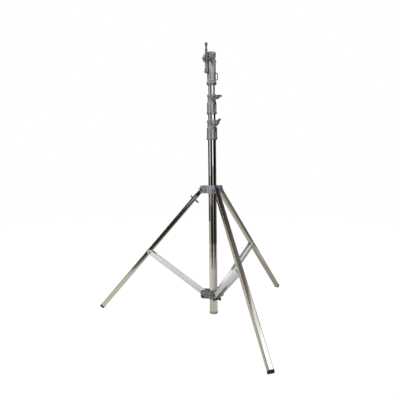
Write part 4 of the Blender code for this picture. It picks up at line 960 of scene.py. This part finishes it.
def hex_bolt(name, half_grip, radius, head, tall):
    """A pivot bolt along Y: six-sided head and nut over thin washers."""
    grip = half_grip + 0.001
    parts = [moved(turned(name, [(radius, -grip), (radius, grip)], 24), facing("Y"))]
    for degrees in (180.0, 0.0):
        flat = ring(name + "_washer", radius, head, 0.0, 0.0007, 40)
        flank = head * 0.92
        profile = [(flank, 0.0007), (flank, tall * 0.85), (head * 0.78, tall), (0.001, tall)]
        nut = turned(name + "_nut", profile, 6)
        rounded(nut, 0.0003)
        point = [(radius * 0.9, tall - 0.0004), (radius * 0.9, tall + 0.0002)]
        point += [(radius * 0.5, tall + 0.0004)]
        stub = turned(name + "_end", point, 24)
        for item in (flat, nut, stub):
            parts.append(moved(item, spun(degrees, "Z") @ shifted(y=half_grip) @ facing("Y")))
    return welded(*parts)


def make_bolts():
    pin = round_bolt("arm_hinge_pin", 0.0096, 0.003, 0.0048, 0.0018)
    finished(pin, arm_place(), "steel", "riser_2", "steel", "arm_pin")
    hub_grip = HUB_SIDE + PLATE + GAP
    base_grip = BRACE_SIDE + BRACE_SHEET + 0.0006 + PLATE + GAP
    hub_bolt = hex_bolt("hub_pivot_bolt", hub_grip, 0.004, 0.0075, 0.0042)
    base_bolt = round_bolt("base_pivot_rivet", base_grip, 0.004, 0.0075, 0.0045)
    stop_bolt = round_bolt("brace_stop_pin", base_grip, 0.004, 0.0065, 0.005)
    along, below = 0.0126, BRACE_HALF + 0.0006 + 0.004
    stop_out = BASE_RADIUS + along * sin(BRACE_LEAN) + below * cos(BRACE_LEAN)
    stop_height = BASE + along * cos(BRACE_LEAN) - below * sin(BRACE_LEAN)
    for name, azimuth in STATIONS.items():
        for pattern, height, reach, finish, body, node in (
            (hub_bolt, HUB, HUB_RADIUS, "steel", "hub", "hub_bolt_"),
            (base_bolt, BASE, BASE_RADIUS, "steel", "column", "base_bolt_"),
            (stop_bolt, stop_height, stop_out, "black_steel", "column", "brace_stop_"),
        ):
            bolt = copied(pattern, pattern.name + "_" + name)
            finished(bolt, station(azimuth, height, reach), finish, body, finish, node + name)
    for spare in (hub_bolt, base_bolt, stop_bolt):
        bpy.data.objects.remove(spare)


# Legs, feet and braces
def square_pipe(name, side, corner, wall, low, high):
    half = side / 2
    pipe = block(name, (-half, -half, low), (half, half, high))
    round_corners(pipe, corner)
    pick(pipe, lambda at, way: abs(way.z) > ALONG)
    inset(wall)
    done()
    for edge, inward in ((high, -0.03), (low, 0.03)):
        def mouth(at, way):
            return abs(at.z - edge) < NEAR and max(abs(at.x), abs(at.y)) < half - wall

        pick(pipe, mouth)
        pull(z=inward)
        done()
    return rounded(pipe, 0.0003, 1, 60.0)


def make_legs():
    tube_end = CAP_END - 0.007
    for name, body in LEG_BODIES.items():
        high = -0.042 if name == "level" else 0.011
        pipe = square_pipe("leg_pipe_" + name, LEG_SIDE, 0.0035, 0.002, -tube_end, high)
        finished(pipe, leg_place(name), "leg_" + name, body, "leg_chrome", "leg_" + name)
    bar = square_pipe("levelling_bar", LEG_SIDE - 2 * 0.0023, 0.002, 0.003, -0.42, 0.01)
    eye = moved(rounded(ring("bar_eye", 0.0042, 0.0085, -0.0125, 0.0125, 40), 0.0004), facing("Y"))
    bar = welded(bar, eye)
    finished(bar, leg_place("level"), "black_steel", "level_bar", "black_steel", "level_bar")
    profile = drawn(
        0.0, 0.0, (4.3, 12.8), (11.2, 12.8), (10.2, 14.2), (10, 15), (10, 19.6),
        (8.6, 20.8), (4.3, 20.8))
    boss = turned("levelling_boss", profile, 48, hollow=True)
    place = level_clamp_place() @ facing("X")
    finished(boss, place, "zinc", "level_leg", "zinc", "level_clamp_boss")


def make_feet():
    half, top = CAP_HALF, 0.0115 - CAP_END
    for name, body in LEG_BODIES.items():
        boot = block("rubber_foot_" + name, (-half, -half, -CAP_END), (half, half, top))
        round_corners(boot, 0.0045)
        pick(boot, lambda at, way: way.z > ALONG)
        inset(0.001)
        pull(z=-0.0045)
        done()
        pick(boot, lambda at, way: way.z < -ALONG)
        inset(0.001)
        shift(z=-0.001)
        done()
        rounded(boot, 0.0004, 2, 40.0)
        moved(boot, leg_place(name))
        edit_all()
        floor, upward = (0.0, 0.0, 0.0), (0.0, 0.0, 1.0)
        bpy.ops.mesh.bisect(plane_co=floor, plane_no=upward, use_fill=True, clear_inner=True)
        done()
        finished(boot, Matrix(), "rubber", body, "rubber", "foot_" + name)


def brace_cheek(side):
    """One rounded side wall of a brace, from pivot to pivot."""
    bpy.ops.mesh.primitive_circle_add(vertices=48, radius=BRACE_HALF, fill_type="NGON")
    cheek = named("brace_cheek")
    moved(cheek, shifted(y=side * BRACE_SIDE) @ facing("Y"))
    pick(cheek, lambda at, way: at.z > NEAR, "VERT")
    shift(z=BRACE_LENGTH)
    select_all()
    pull(0.0, side * BRACE_SHEET, 0.0)
    face_out()
    done()
    return rounded(cheek, 0.0004)


def make_braces():
    outer = BRACE_SIDE + BRACE_SHEET - 0.001
    low, high = 0.018, 0.014 + 0.38 * BRACE_LENGTH
    back = -BRACE_HALF
    cheeks = [brace_cheek(side) for side in (-1.0, 1.0)]
    web = block("brace_web", (back, -outer, low), (back + BRACE_SHEET, outer, high))
    for edge, outward in ((low, -0.006), (high, 0.006)):
        pick(web, lambda at, way: abs(at.z - edge) < NEAR and abs(way.z) > ALONG)
        pull(z=outward)
        stretch((1.0, 0.7, 1.0), (back + BRACE_SHEET / 2, 0.0, edge + outward))
        done()
    channel = welded(*cheeks, rounded(web, 0.0006))
    head = round_bolt("brace_tip_stub", 0.0152, 0.004, 0.0075, 0.0045)
    for name in STATIONS:
        place = brace_place(name)
        key = "brace_" + name
        finished(copied(channel, "brace_channel_" + name), place, key, key, "brace", key)
        bolt = copied(head, "brace_tip_bolt_" + name)
        tip = place @ shifted(z=BRACE_LENGTH)
        finished(bolt, tip, "steel", key, "steel", key + "_tip_head", key + "_tip_nut")
    for spare in (channel, head):
        bpy.data.objects.remove(spare)


def make_loop():
    """A bent wire eye on the head's side: straight, bend, straight, bend, straight."""
    wire, root, reach, bend = 0.0025, 0.0195, 0.0329, 0.006
    high, low = 0.064, 0.0285
    straight = reach - bend - root

    def bent(height):
        centre = (reach - bend, 0.0, height)
        bpy.ops.mesh.spin(steps=10, angle=radians(90.0), center=centre, axis=(0.0, -1.0, 0.0))

    bpy.ops.mesh.primitive_circle_add(vertices=20, radius=wire)
    loop = named("safety_eye")
    moved(loop, shifted(root, 0.0, high) @ facing("X"))
    edit_all()
    pull(straight)
    bent(high - bend)
    pull(z=low - high + 2 * bend)
    bent(low + bend)
    pull(-straight)
    select_all()
    bpy.ops.mesh.remove_doubles(threshold=SAME)
    bpy.ops.mesh.fill_holes(sides=0)
    face_out()
    done()
    finished(loop, station(90.0, HEAD), "black_steel", "riser_2", "steel", "safety_loop")


# Upper bracket's sleeve and the pressed brackets: a strip folded round the column, with a wing
# along each neighbouring leg
def make_sleeve():
    inner, outer = COLUMN + GAP, COLUMN + 0.0028
    low, high = HUB - 0.025, HUB + 0.025
    profile = drawn(inner, low, (0, 0.5), (0.5, 0)) + drawn(outer, low, (-0.6, 0), (0, 0.6))
    profile += drawn(outer, high, (0, -0.6), (-0.6, 0)) + drawn(inner, high, (0.5, 0), (0, -0.5))
    piece = turned("hub_sliding_sleeve", profile, 96, hollow=True)
    finished(piece, Matrix(), "zinc", "hub", "zinc", "hub_sleeve")


def along_wing(at):
    return at.x * 0.5 + abs(at.y) * SINE_60


def wing_spot(distance, side, offset):
    """A place on a wing at a distance from the column's axis."""
    across = side * (distance * SINE_60 - offset * 0.5)
    return Vector((distance * 0.5 + offset * SINE_60, across, 0.0))


def folded_strip(name, arc_radius, offset, tip, top, bottom):
    root = sqrt(arc_radius**2 - offset**2)
    bend = wing_spot(root, 1.0, offset)
    half_arc = atan2(bend.y, bend.x) - radians(7.0)
    straight = tip - 0.0095
    reaches = [tip, tip - 0.0015, tip - 0.0045, straight]
    gap = (straight - root - 0.003) / 8
    reaches += [straight - gap * step for step in range(1, 9)]
    path = [wing_spot(reach, -1.0, offset) for reach in reaches]
    for step in range(9):
        turn = half_arc * (step / 4 - 1.0)
        path.append(Vector((arc_radius * cos(turn), arc_radius * sin(turn), 0.0)))
    path += [wing_spot(reach, 1.0, offset) for reach in reversed(reaches)]
    bpy.ops.mesh.primitive_plane_add(size=1.0)
    strip = named(name)
    first = path[1] - path[0]
    scale = Matrix.Diagonal((first.length, top + bottom, 1.0, 1.0))
    turn = Matrix.Rotation(atan2(first.y, first.x), 4, "Z")
    middle = (path[0] + path[1]) / 2 + Vector((0.0, 0.0, (top - bottom) / 2))
    strip.matrix_world = shifted(*middle) @ turn @ spun(90.0, "X") @ scale
    settle()
    end = path[1]
    pick(strip, lambda at, way: abs(way.z) > ALONG and (at.xy - end.xy).length < NEAR, "EDGE")
    for before, after in zip(path[1:], path[2:]):
        pull(*(after - before))
    done()
    pick(strip, lambda at, way: abs(way.z) > ALONG, "EDGE")
    bpy.ops.mesh.subdivide(number_cuts=5)
    done()
    return strip


# Start and end of a sector in radians, and its share of the lobe's drop
LOBE_STEPS = ((0.0, 0.1, 1.0), (0.1, 0.24, 0.92), (0.24, 0.35, 0.75), (0.35, 0.5, 0.5))


def shaped_edges(strip, tip, top, bottom, lobe, arc_radius):
    """Rounds the wing tips and draws the middle down to a lobe."""
    old = top + bottom
    for start, end, low, high in (
        (0.0007, -0.001, 0.34, 0.58), (0.003, 0.0007, 0.58, 0.76), (0.007, 0.003, 0.8, 0.92),
    ):
        pick(strip, lambda at, way: tip - start < along_wing(at) < tip - end, "VERT")
        share = (top * high + bottom * low) / old
        centre = (-bottom * low + bottom * share) / (1.0 - share)
        stretch((1.0, 1.0, share), (0.0, 0.0, centre))
        done()
    for row, part in ((0, 1.0), (1, 0.6), (2, 0.3)):
        level = -bottom + old * row / 6
        for inside, outside, share in LOBE_STEPS:
            def chosen(at, way):
                turn = abs(atan2(at.y, at.x))
                near = hypot(at.x, at.y) < arc_radius + 0.0002
                return near and inside <= turn < outside and abs(at.z - level) < 0.0002

            pick(strip, chosen, "VERT")
            shift(z=-(lobe - bottom) * share * part)
            done()


def stop_tab_and_pockets(strip, tip):
    """A tab bent up from one wing tip, and a pressed pocket in each wing."""
    def tab_root(at, way):
        return along_wing(at) > tip - 0.0002 and at.y < 0.0 and 0.0085 < at.z < 0.012

    pick(strip, tab_root, "EDGE")
    pull(0.0045, -0.0045 * tan(radians(60.0)), -0.0012)
    done()
    for side in (-1.0, 1.0):
        def pocket(at, way):
            inside = 0.0285 < along_wing(at) < 0.0445 and -0.0165 < at.z < 0.005
            return at.y * side > 0.0 and inside

        pick(strip, pocket)
        inset(0.0016)
        shift(-0.0034 * SINE_60, side * 0.0017, 0.0)
        done()


def pressed_plate(name, arc_radius, offset, tip, top, bottom, lobe, pivot, tab):
    strip = folded_strip(name, arc_radius, offset, tip, top, bottom)
    shaped_edges(strip, tip, top, bottom, lobe, arc_radius)
    if tab:
        stop_tab_and_pockets(strip, tip)
    hold(strip)
    if strip.data.polygons[0].normal.x < 0.0:
        edit_all()
        bpy.ops.mesh.flip_normals()
        done()
    sheet = strip.modifiers.new("sheet", "SOLIDIFY")
    sheet.thickness = PLATE
    sheet.offset = 1.0
    bpy.ops.object.modifier_apply(modifier="sheet")
    parts = [rounded(strip, 0.0005, 2, 60.0)]
    for side in (-1.0, 1.0):
        profile = drawn(
            0.0, 0.0, (7.8, -0.4), (11.2, -0.4), (11.2, 0.4), (10.6, 0.9), (9.4, 0.9),
            (8.6, 0.3), (7.8, 0.2))
        collar = turned("pivot_ring", profile, 40, hollow=True)
        face = shifted(*wing_spot(pivot, side, offset + PLATE))
        parts.append(moved(collar, face @ spun(-30.0 * side, "Z") @ facing("X")))
    profile = drawn(0.0, 0.0, (4, -1), (4, 0.4), (3.6, 1.1), (2.6, 1.6), (1, 1.8))
    dome = turned("plate_rivet", profile, 32)
    parts.append(moved(dome, shifted(arc_radius + PLATE) @ facing("X")))
    return welded(*parts)


def make_brackets():
    upper = (COLUMN + 0.0031, HUB_SIDE, HUB_RADIUS + 0.008, 0.0245, 0.019, 0.026, HUB_RADIUS, True)
    reach = BASE_RADIUS + 0.0325
    lower = (COLUMN + GAP, HUB_SIDE + PLATE, reach, 0.03, 0.0185, 0.022, BASE_RADIUS, False)
    for prefix, sizes, height, body, skin in (
        ("hub", upper, HUB, "hub", "zinc"),
        # The base pressings take the darker zinc copy: painted shade
        ("base", lower, BASE, "column", "dull_zinc"),
    ):
        pattern = pressed_plate(prefix + "_pattern", *sizes)
        for number, azimuth in enumerate(STATIONS.values(), 1):
            plate = copied(pattern, "%s_pressing_%d" % (prefix, number))
            node = "%s_plate_%d" % (prefix, number)
            finished(plate, station(azimuth + 60.0, height), skin, body, "zinc", node)
        bpy.data.objects.remove(pattern)


set_camera()
set_studio()
finishes = make_finishes()
dress_frame()
make_tubes()
make_end_plug()
make_guide_bushes()
make_stud()
make_collar("lower", LOWER_COLLAR, COLUMN, RISER_1, "column")
make_collar("upper", UPPER_COLLAR, RISER_1, RISER_2, "riser_1")
make_head()
make_clamps()
make_arm()
make_bolts()
make_legs()
make_feet()
make_braces()
make_loop()
make_sleeve()
make_brackets()
